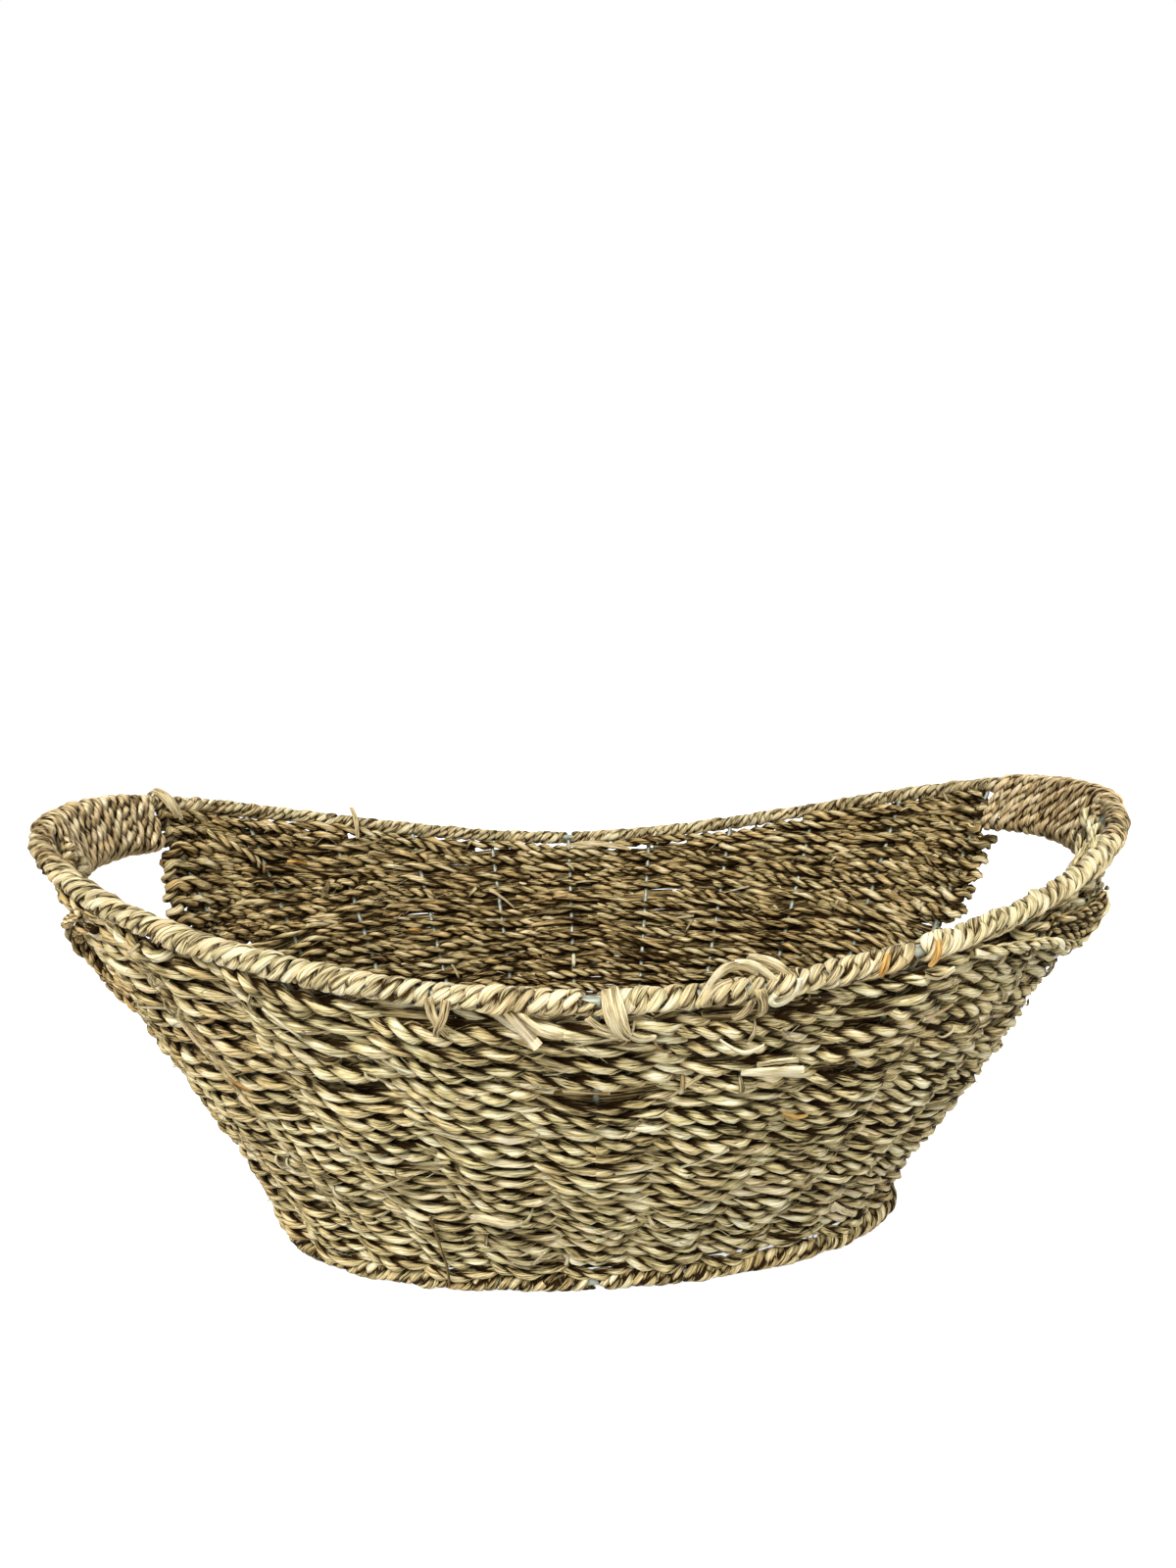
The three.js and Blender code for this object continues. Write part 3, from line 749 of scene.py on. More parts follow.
def make_grip_bows():
    """The wire under the rim at each end, with a leg up to the rim on both sides."""
    for label, tip in TIPS:
        start, end = grip_span(tip)
        along = np.linspace(start, end, BOW_STEPS)
        bow = grip_wire_at(along)
        corners = [rim_at(start), bow[0], *bow[2:-2], bow[-1], rim_at(end)]
        points = [corners[0]]
        points.extend(rounded_corners(corners[:3], BOW_BEND)[1:-1])
        points.extend(corners[2:-2])
        points.extend(rounded_corners(corners[-3:], BOW_BEND)[1:-1])
        points.append(corners[-1])
        round_wire(f"grip_wire_{label}", np.array(points), GRIP_WIRE_RADIUS, False, f"grip_bow_{label}")


make_hoops()
make_stakes()
make_grip_bows()


# Wall ropes

# The rows rise and sink together in waves: how far, how many round the basket, and the height over which they
# shift, in millimetres, with the turn that they start at
ROW_WAVES = ((1.1, 7, 21, 0), (0.8, 13, -13, 1), (0.5, 21, 8, 2))
LEVEL_FOOT = 25

# Where the grass turns browner, along Y towards the back and along X to the left, and where painted shade
# darkens it towards the back
BACK_WARM_RAMP = (-40, 120)
LEFT_WARM_RAMP = (60, 140)
BACK_DARK_RAMP = (-30, 90)
FRONT_WARMTH = 0.08
BACK_WARMTH = 0.4
LEFT_WARMTH = 0.35
BACK_THIN_RAMP = (-0.5, 1.2)

# The dark blades of painted shade between the rows: the steps along a row, and the blade itself
SHADE_FILLER_STEPS = 150
SHADE_FILLER_UPPER_STEPS = 110
SHADE_FILLER_LEAST_STEPS = 8
SHADE_FILLER_BLADE = {"half_depth": 0.9, "half_height": 2.6, "lay": 0, "tone": 0.12, "warmth": 0.5}

# One turn of rope: how it strays from its row and from its swing, how thick it is, and how its lay and tone
# vary
LAP_STEPS = 240
COURSE_LIFT = (0.8, 30)
COURSE_SWAY = (0.7, 24)
COURSE_SIZES = (0.93, 1.07)
COURSE_SWELL = (0.12, 60)
COURSE_LUMPS = (0.1, 21)
COURSE_LAYS = (0.88, 1.15)
COURSE_TONE = 0.56
TONE_SPREAD = 0.1


def row_wander(place, height):
    """How far the rows rise and sink together, in millimetres, so that no row runs quite level."""
    turn = place / STAKES_AROUND * 2 * math.pi
    waves = [far * np.sin(count * turn + height / shift + start) for far, count, shift, start in ROW_WAVES]
    return sum(waves) * ramp(height, WALL_FOOT_HEIGHT, LEVEL_FOOT)


def warmth_at(points):
    """The back of the basket and its left end are browner than the green-grey front."""
    back = ramp(points[:, 1], *BACK_WARM_RAMP)
    left = ramp(-points[:, 0], *LEFT_WARM_RAMP)
    return FRONT_WARMTH + BACK_WARMTH * back + LEFT_WARMTH * left * (1 - back)


def pressed(place):
    """Rows are squeezed where they cross between two stakes, full over one, and thinner at the back."""
    back = ramp(-np.cos(2 * math.pi * place / STAKES_AROUND), *BACK_THIN_RAMP)
    return mix(PRESSED_SHARE, 1, smoothstep(np.abs(np.cos(math.pi * place)))) * (1 - BACK_THINNESS * back)


def tone_at(points, tone):
    """Painted shade: the grass is made darker towards the back, for the shade inside the basket."""
    return tone - BACK_SHADE * ramp(points[:, 1], *BACK_DARK_RAMP)


def make_shade_filler():
    """Painted shade: thin dark blades laid flat between the rows where the weave is in shadow, so that the
    weave lets little light through.
    """
    rope = RopeMesh()
    for row in range(2 * COURSE_COUNT + SHADE_FILLER_UPPER_ROWS):
        height = FIRST_COURSE_HEIGHT + COURSE_RISE * 0.5 * (row - 0.5)
        for centre in MIDDLES.values():
            place = np.linspace(centre - TIP_STAKE, centre + TIP_STAKE, SHADE_FILLER_STEPS)
            if row >= 2 * COURSE_COUNT:
                place = np.linspace(centre - SHADE_FILLER_REACH, centre + SHADE_FILLER_REACH, SHADE_FILLER_UPPER_STEPS)
            level = level_at(place, height + row_wander(place, height))
            inside = level < 1 - SHADE_FILLER_TOP_GAP / wall_length(place)
            if inside.sum() < SHADE_FILLER_LEAST_STEPS:
                continue
            for part in np.split(np.arange(len(place)), np.flatnonzero(np.diff(inside.astype(int))) + 1):
                if inside[part[0]] and len(part) > SHADE_FILLER_LEAST_STEPS // 2:
                    line = wall_point(place[part], level[part])
                    rope.add(line, wall_normal(place[part]), section=BLADE, **SHADE_FILLER_BLADE)
    rope.finish("shade_filler", wall_grass, "wall_rope")


# Each woven pass: its points, the wall's normal there, and how far it is towards the outside, -1 to 1
woven = []


def add_closed_pass(rope, height, facing):
    """One turn of rope round the whole wall."""
    lap = np.linspace(0, STAKES_AROUND, LAP_STEPS, endpoint=False)
    line = wall_point(lap, level_at(lap, height))
    length = np.linalg.norm(np.diff(line, axis=0, append=line[:1]), axis=1).sum()
    count = round(length / ROPE_STEP)
    place = np.arange(count) * STAKES_AROUND / count
    spots = np.arange(count) * length / count
    lift = row_wander(place, height) + varied(COURSE_LIFT, spots, length)
    level = level_at(place, height + lift)
    swing = WEAVE_SWING * facing * np.cos(math.pi * place) + varied(COURSE_SWAY, spots, length)
    normal = wall_normal(place)
    points = wall_point(place, level) + normal * swing[:, None]
    thick = rng.uniform(*COURSE_SIZES) + varied(COURSE_SWELL, spots, length)
    thick = thick + varied(COURSE_LUMPS, spots, length)
    lay = ROPE_LAY * rng.uniform(*COURSE_LAYS)
    tone = COURSE_TONE + rng.uniform(-TONE_SPREAD, TONE_SPREAD)
    rope.add(points, normal, ROPE_HALF_DEPTH * thick, ROPE_HALF_HEIGHT * thick * pressed(place), lay=lay,
             tone=tone_at(points, tone), warmth=warmth_at(points), closed=True)
    woven.append((points, normal, facing * np.cos(math.pi * place)))


def make_wall():
    """Each course is two turns of rope, one above the other, on opposite sides of each stake."""
    for course in range(COURSE_COUNT):
        rope = RopeMesh()
        for facing in (1, -1):
            height = FIRST_COURSE_HEIGHT + COURSE_RISE * (course - PASS_OFFSET * facing)
            if course == 0:
                height -= FOOT_SINK
            add_closed_pass(rope, height, facing)
        number = f"{course + 1:02d}"
        rope.finish(f"wall_rope_{number}", wall_grass, "wall_rope", f"wall_course_{number}")


# Upper weave: one long rope, back and forth between the two hand openings

# The stakes round which the short runs turn back, in each round of the rope
RETURN_STAKES = [2, 3, 2, 3]
RUN_END_RAMP = (-0.45, 0.8)

# How far apart the stakes are taken to be there, and how the rope strays and swells
UPPER_STAKE_SPACING = 52.0
UPPER_WANDER_HEIGHT = 140.0
UPPER_WANDER = 0.5
UPPER_HALF_HEIGHTS = (2.7, 3.7)
UPPER_LUMPS = (0.1, 26)
UPPER_SWELL = (0.1, 60)
UPPER_SWAY = (0.4, 22)
UPPER_LIFT = (0.5, 25)
UPPER_DEPTH_SHARE = 0.96
UPPER_TONE = 0.57

# The turns at the end of a run: steps, when they climb to the next row, and how far and round they reach
EDGE_TURN_STEPS = 23
INNER_TURN_STEPS = 9
TURN_CLIMB_RAMP = (0.25, 0.5)
TURN_REACHES = (0.88, 1.08)
TURN_SQUARENESS = 3.2
TURN_SWELL = 1.1
TURN_HALF_HEIGHTS = (2.9, 3.7)

# Short turns between the rows beside a hand opening, which reach less far where a turn of the rope lies too
SHORT_TURN_STEPS = 34
SHORT_TURN_SWING_SHARE = 0.8
AT_TURN_REACH_SHARE = 0.55
NO_TURN_REACH_SHARE = 0.9
SHORT_TURN_RAMP = (0.6, 0.4)
SHORT_TURN_SQUARENESS = 12
SHORT_TURN_LEAST = 0.04
SHORT_TURN_HALF_DEPTH = 2.3
SHORT_TURN_HALF_HEIGHT = 2.9
SHORT_TURN_LAY = 15.0
SHORT_TURN_TONE = 0.5


def upper_runs():
    """Where each run starts and ends: long ones from edge to edge, and short ones back from each edge."""
    runs = []
    edge = EDGE_STAKE
    for back in RETURN_STAKES:
        runs += [(-edge, edge), (edge, back), (back, edge)]
        runs += [(edge, -edge), (-edge, -back), (-back, -edge)]
    return runs


UPPER_RUNS = upper_runs()


def run_weight(run, side):
    """How much of a row's height a run takes at a side: all where it runs, none beyond its return stake."""
    start, end = run
    if start * end < 0:
        return np.ones_like(side)
    inner = min(abs(start), abs(end))
    outwards = np.sign(start + end) * side
    return ramp(outwards - inner, *RUN_END_RAMP)


def upper_level(centre, side, number):
    """The level of a run at a side, and how high its row is there, in millimetres."""
    place = centre + side
    length = wall_length(place)
    floor = level_at(place, TOP_COURSE_HEIGHT) + COURSE_RISE * 0.5 / length
    slack = RIM_TO_WEAVE_GAP if centre == 0 else BACK_WEAVE_GAP
    gap = RIM_WRAP_RADIUS + slack * (1 - np.abs(side) / TIP_STAKE)
    ceiling = 1 - gap / length
    weights = np.array([run_weight(run, side) for run in UPPER_RUNS])
    below = weights[:number].sum(axis=0) + weights[number] / 2
    total = weights.sum(axis=0)
    rise = (ceiling - floor) / total * length
    return floor + (ceiling - floor) * below / total, rise


def end_swell(centre, side, level):
    """How far the front's upper rows stand in or out at its two ends, by how far they are below the rim."""
    if centre != 0:
        return np.zeros_like(side)
    drop = (1 - level) * wall_length(centre + side)
    notch = np.where(side < 0, *END_NOTCHES) * (1 - ramp(drop, *NOTCH_RAMP))
    bulge = END_BULGE * (side > 0) * ramp(drop, *BULGE_RISE_RAMP) * (1 - ramp(drop, *BULGE_FALL_RAMP))
    return (bulge - notch) * ramp(np.abs(side), *SWELL_STAKES_RAMP)


def edge_reach(place, level):
    """How much further the turns beside a hand opening reach into it, below the grip."""
    drop = (1 - level) * wall_length(place) - GRIP_DROP
    first, last = LOOP_REACH_DROPS
    left = LOOP_REACH_LEFT + LOOP_SPREAD_LEFT * np.maximum(drop - last, 0)
    reach = np.where(rim_at(place)[..., 0] > 0, LOOP_REACH_RIGHT, left)
    return reach * ramp(drop, first, last - first)


def add_upper_weave(rope, centre):
    """The whole rope of one side, with a half turn round the stake at the end of each run."""
    points, sides, heights = [], [], []
    for number, (start, end) in enumerate(UPPER_RUNS):
        facing = 1 if number % 2 == 0 else -1
        count = round(abs(end - start) * UPPER_STAKE_SPACING / ROPE_STEP)
        side = np.linspace(start, end, count)
        level, rise = upper_level(centre, side, number)
        place = centre + side
        swing = -facing * UPPER_SWING * np.cos(math.pi * side) + end_swell(centre, side, level)
        normal = wall_normal(place)
        lift = row_wander(place, UPPER_WANDER_HEIGHT) * UPPER_WANDER / wall_length(place)
        points.append(wall_point(place, level + lift) + normal * swing[:, None])
        sides.append(normal * np.sign(end - start))
        heights.append(np.clip(rise, *UPPER_HALF_HEIGHTS) * pressed(place))
        woven.append((points[-1], normal, -facing * np.cos(math.pi * side)))
        if number == len(UPPER_RUNS) - 1:
            break
        add_turn(points, sides, heights, centre, number, facing)
    points = np.concatenate(points)
    sides = np.concatenate(sides)
    heights = np.concatenate(heights)
    length = spans(points).sum()
    spots = np.linspace(0, length, len(points))
    thick = 1 + varied(UPPER_LUMPS, spots, length) + varied(UPPER_SWELL, spots, length)
    points = points + sides * UPPER_SWAY[0] * smooth_noise(spots, length, UPPER_SWAY[1])
    points[:, 2] += varied(UPPER_LIFT, spots, length)
    rope.add(points, sides, ROPE_HALF_DEPTH * thick * UPPER_DEPTH_SHARE, heights * thick,
             tone=tone_at(points, UPPER_TONE), warmth=warmth_at(points))


def add_turn(points, sides, heights, centre, number, facing):
    """Half a turn round the stake where a run ends."""
    start, stake = UPPER_RUNS[number]
    outwards = np.sign(stake - start)
    leaving = -facing * math.cos(math.pi * stake)
    at_edge = abs(stake) == EDGE_STAKE
    count = EDGE_TURN_STEPS if at_edge else INNER_TURN_STEPS
    side = np.full(count, float(stake))
    lower, rise = upper_level(centre, side, number)
    upper, _ = upper_level(centre, side, number + 1)
    share = np.linspace(0, 1, count)
    climb = ramp(share, *TURN_CLIMB_RAMP) if at_edge else share
    angle = math.pi * climb
    place = centre + side
    normal = wall_normal(place)
    way = around_rim(place)
    level = mix(lower, upper, climb)
    reach = np.full(count, UPPER_SWING)
    if at_edge:
        reach = reach + edge_reach(place, level) * rng.uniform(*TURN_REACHES)
    across = (leaving * UPPER_SWING * np.cos(angle) + end_swell(centre, side, level))[:, None]
    along = (outwards * reach * (1 - np.abs(2 * share - 1) ** TURN_SQUARENESS))[:, None]
    turn = wall_point(place, level) + normal * across + way * along
    facing_out = normal * (np.cos(angle) * outwards)[:, None] + way * (np.sin(angle) * leaving)[:, None]
    points.append(turn[1:-1])
    sides.append(facing_out[1:-1])
    heights.append(np.clip(rise * TURN_SWELL, *TURN_HALF_HEIGHTS)[1:-1])


def make_upper_weaves():
    """The front's rope and the back's one."""
    for label, centre in MIDDLES.items():
        rope = RopeMesh()
        add_upper_weave(rope, centre)
        rope.finish(f"upper_rope_{label}", wall_grass, "wall_rope", f"upper_weave_{label}")


def add_short_turn(rope, centre, side, level, hand, reach_share):
    """A short rope that lies along the rows and sticks out into the hand opening with a round end."""
    share = np.linspace(0, 1, len(side))
    place = centre + side
    normal, way = wall_normal(place), around_rim(place)
    reach = UPPER_SWING * SHORT_TURN_SWING_SHARE + reach_share * edge_reach(place, level)
    stretch = (hand * reach * ramp(share, *SHORT_TURN_RAMP))[:, None]
    points = wall_point(place, level) + way * stretch
    points = points + normal * end_swell(centre, side, level)[:, None]
    round_end = 1 - np.abs(2 * share - 1) ** SHORT_TURN_SQUARENESS
    round_end = np.sqrt(np.clip(round_end, SHORT_TURN_LEAST, 1))
    rope.add(points, normal, SHORT_TURN_HALF_DEPTH * round_end, SHORT_TURN_HALF_HEIGHT * round_end,
             lay=SHORT_TURN_LAY, tone=tone_at(points, SHORT_TURN_TONE), warmth=warmth_at(points))


def make_edge_turns():
    """Short turns of rope between the rows beside each hand opening, where the weave is packed tight."""
    rope = RopeMesh()
    for centre in MIDDLES.values():
        for hand in (-1, 1):
            edge = np.array([float(hand * EDGE_STAKE)])
            rows = [number for number, run in enumerate(UPPER_RUNS) if run_weight(run, edge)[0] > 0.5]
            for position, (lower, upper) in enumerate(zip(rows, rows[1:])):
                side = hand * np.linspace(EDGE_ROPE_START, EDGE_STAKE, SHORT_TURN_STEPS)
                level = mix(upper_level(centre, side, lower)[0], upper_level(centre, side, upper)[0], 0.5)
                between_turns = position % 2 == (1 if hand > 0 else 0)
                reach_share = NO_TURN_REACH_SHARE if between_turns else AT_TURN_REACH_SHARE
                add_short_turn(rope, centre, side, level, hand, reach_share)
    rope.finish("edge_turns", wall_grass, "wall_rope")


# Floor: ropes laid lengthwise, over one wire and under the next

FLOOR_CLEARANCE = 5.0
FLOOR_SIDE_GAP = 1.5
FLOOR_END_GAP = 2
FLOOR_PASS_OFFSETS = (-0.25, 0.25)
FLOOR_ROPE = {"half_depth": ROPE_HALF_DEPTH * 0.85, "half_height": 2.75, "tone": 0.42, "warmth": 0.6}


def make_floor():
    """Two ropes to a strand, on opposite sides of each wire."""
    for strand in range(-FLOOR_STRANDS_PER_HALF, FLOOR_STRANDS_PER_HALF + 1):
        rope = RopeMesh()
        for half, offset in enumerate(FLOOR_PASS_OFFSETS):
            y = (strand + offset) * FLOOR_STRAND_PITCH
            widest = (abs(y) + FLOOR_SIDE_GAP) / (BASE_HALF_WIDTH - FLOOR_CLEARANCE)
            reach = (1 - widest**OVAL_FULLNESS) ** (1 / OVAL_FULLNESS)
            end = (BASE_HALF_LENGTH - FLOOR_CLEARANCE - FLOOR_END_GAP) * reach
            count = round(2 * end / ROPE_STEP)
            x = np.linspace(-end, end, count)
            sides = np.arange(-EDGE_STAKE, EDGE_STAKE + 1).astype(float)
            wires = wall_point(sides, level_at(sides, FLOOR_WIRE_HEIGHT))[:, 0]
            place = np.interp(x, wires, sides)
            facing = 1 if half == 0 else -1
            lift = WEAVE_SWING * facing * np.cos(math.pi * place)
            points = np.stack([x, np.full(count, y), FLOOR_WIRE_HEIGHT + lift], axis=1)
            up = np.tile([0.0, 0.0, 1.0], (count, 1))
            rope.add(points, up, **FLOOR_ROPE)
        number = f"{strand + FLOOR_STRANDS_PER_HALF + 1:02d}"
        rope.finish(f"floor_rope_{number}", floor_grass, "floor_rope", f"floor_strand_{number}")


# Cord wound round the hoops and the grips

WINDING_TRACE_STEPS = 4000
WINDING_STEP = 1.35
WINDING_STEPS_PER_LAY = 9
WINDING_SINK_SHARE = 0.75
WINDING_WIDTH_SHARE = 0.66
WINDING_ROUGHNESS = 0.14
WINDING_UNTWIST = 0.4

# How the turns of a winding stray along and off the wire, and swell: how much, and over how many turns
WINDING_STRETCH = (1.2, 3.5)
WINDING_LIFT = (0.3, 1.3)
WINDING_LUMPS = (0.17, 0.9)
WINDING_SWELL = (0.1, 5)

FRONT_CORD = {"pitch": 5.0, "lay": 11.5, "tone": 0.6}
BACK_CORD = {"pitch": 5.0, "lay": 11.5, "tone": 0.5}
FINE_CORD = {"pitch": 3.2, "lay": 9.0, "tone": 0.4, "warmth": 0.35}
BASE_CORD = {"pitch": 5.2, "lay": 13.0, "tone": 0.42, "warmth": 0.35, "half_depth": 1.15}

# The front's cord is fine for this many stakes beside each grip
FINE_STAKES = 0.95
# Places between which the rim's wire shows, by the second stake right of the middle
BARE_WIRE = (1.91, 2.02)
BASE_STAKE_SPACING = 27


def add_winding(rope, hoop, side_at, start, end, pitch, lay, tone, warmth=0.06, half_depth=1.35):
    """One cord wound tight round a hoop, from one place to another."""
    fine = np.linspace(start, end, WINDING_TRACE_STEPS)
    axis = hoop(fine)
    reached = distances_along(axis)
    length = reached[-1]
    radius = HOOP_WIRE_RADIUS + half_depth * WINDING_SINK_SHARE
    per_turn = math.hypot(2 * math.pi * radius, pitch)
    turns = length / pitch
    count = round(turns * per_turn / min(WINDING_STEP, lay / WINDING_STEPS_PER_LAY))
    spots = np.linspace(0, length, count)

    def stray(amount, over_turns):
        return varied((amount, pitch * over_turns), spots, length)

    place = np.interp(spots, reached, fine)
    turn = 2 * math.pi * spots / pitch + stray(*WINDING_STRETCH)
    axis = hoop(place)
    way = unit(np.gradient(axis, axis=0))
    side = square_to(way, side_at(place))
    up = np.cross(side, way)
    out = side * np.cos(turn)[:, None] + up * np.sin(turn)[:, None]
    reach = radius + stray(WINDING_LIFT[0] * half_depth, WINDING_LIFT[1])
    points = axis + out * reach[:, None]
    thick = 1 + stray(*WINDING_LUMPS)
    thick = thick + stray(*WINDING_SWELL)
    rope.add(points, out, half_depth * thick, pitch * WINDING_WIDTH_SHARE * thick, lay=lay, tone=tone,
             warmth=warmth, roughness=WINDING_ROUGHNESS, untwist=WINDING_UNTWIST)


def level_outward(place):
    """Outwards and quite level, for the base hoop."""
    return unit(wall_normal(place) * [1, 1, 0])


def rim_stretches():
    """The parts of the rim cord in each quarter of the rim: where they start and end, and which cord."""
    bare = stakes_for(0.0, BARE_WELD / 2)
    right_start, right_end = grip_span(TIP_STAKE)
    left_start, left_end = grip_span(STAKES_AROUND - TIP_STAKE)
    left_end -= STAKES_AROUND
    right_fine = right_start - FINE_STAKES
    left_fine = left_end + FINE_STAKES
    return {
        "front_right": [
            (right_fine, right_start, FINE_CORD),
            (bare, BARE_WIRE[0], FRONT_CORD),
            (BARE_WIRE[1], right_fine, FRONT_CORD),
        ],
        "back_right": [(right_end, BACK_STAKE - bare, BACK_CORD)],
        "back_left": [(BACK_STAKE + bare, left_start, BACK_CORD)],
        "front_left": [
            (left_end, left_fine, FINE_CORD),
            (left_fine, -bare, FRONT_CORD),
        ],
    }


def make_wraps():
    """The cord round the rim between the grips, and the cord round each half of the base hoop."""
    for label, stretches in rim_stretches().items():
        rope = RopeMesh()
        for start, end, cord in stretches:
            add_winding(rope, rim_at, wall_normal, start, end, **cord)
        rope.finish(f"rim_cord_{label}", wrap_grass, "wrap_cord", f"rim_wrap_{label}")
    bare = BARE_WELD / 2 / BASE_STAKE_SPACING
    for label, start in (("right", 0.0), ("left", float(BACK_STAKE))):
        rope = RopeMesh()
        add_winding(rope, base_at, level_outward, start + bare, start + BACK_STAKE - bare, **BASE_CORD)
        rope.finish(f"base_cord_{label}", wall_grass, "wrap_cord", f"base_wrap_{label}")


def band_outline(share, half_height, half_depth):
    """Where a turn of the band is: up, outwards, and which way the cord faces, round two half circles."""
    straight = 2 * (half_height - half_depth)
    arc = math.pi * half_depth
    spot = (np.asarray(share) % 1) * 2 * (straight + arc)
    second = spot >= straight + arc
    spot = np.where(second, spot - straight - arc, spot)
    turn = np.clip((spot - straight) / half_depth, 0, math.pi)
    high = np.where(spot < straight, spot - straight / 2, straight / 2 + half_depth * np.sin(turn))
    wide = half_depth * np.cos(turn)
    face_high = np.where(spot < straight, 0.0, np.sin(turn))
    face_wide = np.cos(turn)
    sign = np.where(second, -1.0, 1.0)
    return high * sign, wide * sign, face_high * sign, face_wide * sign


# The band of a grip: its turns, the steps of a turn, and how far it reaches beyond the rim and the bow
GRIP_TURNS = 15
GRIP_TURN_STEPS = 78
GRIP_BAND_MARGIN = 3.7
GRIP_BAND_HALF_DEPTH = 4.3
GRIP_OVERHANG = 0.02
GRIP_DRIFT = (0.012, 30)
GRIP_SWELL = (0.06, 15)
GRIP_CORD = {"half_depth": 1.9, "half_height": 3.0, "lay": 14.0, "tone": 0.6, "warmth": 0.25,
             "roughness": 0.09, "untwist": 0.9}


def make_grips():
    """A cord wound side by side round the rim and the bow under it, as a flat band."""
    for label, tip in TIPS:
        start, end = grip_span(tip)
        share = np.linspace(0, 1, GRIP_TURNS * GRIP_TURN_STEPS)
        half_height = GRIP_DROP / 2 + GRIP_BAND_MARGIN
        half_depth = GRIP_BAND_HALF_DEPTH
        length = GRIP_TURNS * (4 * (half_height - half_depth) + 2 * math.pi * half_depth)
        spots = share * length
        place = mix(start - GRIP_OVERHANG, end + GRIP_OVERHANG, share) + varied(GRIP_DRIFT, spots, length)
        high, wide, face_high, face_wide = band_outline(GRIP_TURNS * share, half_height, half_depth)
        normal, slope = wall_normal(place), wall_slope(place)
        middle = mix(grip_wire_at(place), rim_at(place), 0.5)
        wide = wide * (1 + varied(GRIP_SWELL, spots, length))
        points = middle + slope * high[:, None] + normal * wide[:, None]
        out = unit(slope * face_high[:, None] + normal * face_wide[:, None])
        rope = RopeMesh()
        rope.add(points, out, **GRIP_CORD)
        rope.finish(f"grip_cord_{label}", grip_grass, "grip_cord", f"grip_winding_{label}")


# Loose ends of grass that stand out of the weave

# How much of it the outside and the inside have: which way it points, ties, fibres and leaves
LOOSE_GRASS = (("outside", 1, 110, 800, 90), ("inside", -1, 40, 400, 20))
# A fibre and a leaf: the length, half the width and how far out it bends, in millimetres, and its outline
FIBRE_KIND = ((4, 13), (0.16, 0.32), (-0.8, 1.5), FIBRE)
LEAF_KIND = ((8, 20), (0.7, 1.5), (-0.6, 0.9), BLADE)
# Loose grass starts where a rope is this far round to the side that the grass is on
LEAST_FACING = 0.15
END_MARGIN = 3
# It is trimmed shorter at both ends of the basket, from this far along it
TRIMMED_FROM = 165
END_TRIM = 0.4
GRASS_ABOVE_GROUND = 1.5

FIBRE_STEPS = 6
FIBRE_TILT = 0.35
FIBRE_ROOT_SHARE = 0.8
FIBRE_ROOT_SPREAD = 2.2
FIBRE_BEND = 0.12
FIBRE_BOW = 0.5
FIBRE_DROOP = 0.1
FIBRE_FLATNESS = 0.4
FIBRE_ROOT_WIDTH = 1.05
FIBRE_TAPER = 0.6
FIBRE_TONE = (0.62, 0.16)
FIBRE_WARMTHS = (-0.2, 0.7)

TIE_STEPS = 11
TIE_LEAN = 0.5
TIE_CLEARANCE = 0.5
TIE_TUCK = 3.2
TIE_HALF_LENGTHS = (3.2, 5.0)
TIE_HALF_DEPTH = 0.35
TIE_HALF_WIDTHS = (0.7, 1.3)
TIE_TAPER = 0.4
TIE_TONE = (0.56, 0.14)
TIE_WARMTHS = (0, 0.5)


def add_fibre(rope, points, normal, spot, outwards, length, half_width, lift, section):
    """One loose blade that starts on a woven pass and leaves it at a small angle."""
    way = unit(points[spot + 1] - points[spot - 1]) * rng.choice([-1, 1])
    out = normal[spot] * outwards
    up = np.cross(way, out)
    tilt = rng.normal(0, FIBRE_TILT)
    heading = way * math.cos(tilt) + up * math.sin(tilt)
    root = out * ROPE_HALF_DEPTH * FIBRE_ROOT_SHARE
    start = points[spot] + root + up * rng.uniform(-FIBRE_ROOT_SPREAD, FIBRE_ROOT_SPREAD)
    share = np.linspace(0, 1, FIBRE_STEPS)[:, None]
    bend = up * rng.normal(0, FIBRE_BEND) * length + out * lift
    drop = np.array([0.0, 0.0, -1.0]) * abs(rng.normal(0, FIBRE_DROOP)) * length
    bow = out * FIBRE_BOW * np.sin(math.pi * share)
    line = start + heading * length * share + bow + (bend + drop) * share**2
    line[:, 2] = np.maximum(line[:, 2], GRASS_ABOVE_GROUND)
    half_widths = half_width * (FIBRE_ROOT_WIDTH - FIBRE_TAPER * share[:, 0])
    rope.add(line, np.tile(out, (FIBRE_STEPS, 1)), half_width * FIBRE_FLATNESS, half_widths, lay=0,
             tone=rng.normal(*FIBRE_TONE), warmth=rng.uniform(*FIBRE_WARMTHS), section=section)


def add_tie(rope, points, normal, spot, outwards):
    """A short blade laid across a row, with both ends tucked in beside it."""
    way = unit(points[spot + 1] - points[spot - 1])
    out = normal[spot] * outwards
    lean = rng.normal(0, TIE_LEAN)
    heading = np.cross(way, out) * math.cos(lean) + way * math.sin(lean)
    share = np.linspace(-1, 1, TIE_STEPS)
    rise = ROPE_HALF_DEPTH + TIE_CLEARANCE - TIE_TUCK * share**4
    line = points[spot] + heading * rng.uniform(*TIE_HALF_LENGTHS) * share[:, None] + out * rise[:, None]
    half_widths = rng.uniform(*TIE_HALF_WIDTHS) * (1 - TIE_TAPER * share**2)
    rope.add(line, np.tile(out, (TIE_STEPS, 1)), TIE_HALF_DEPTH, half_widths, lay=0,
             tone=rng.normal(*TIE_TONE), warmth=rng.uniform(*TIE_WARMTHS), section=BLADE)


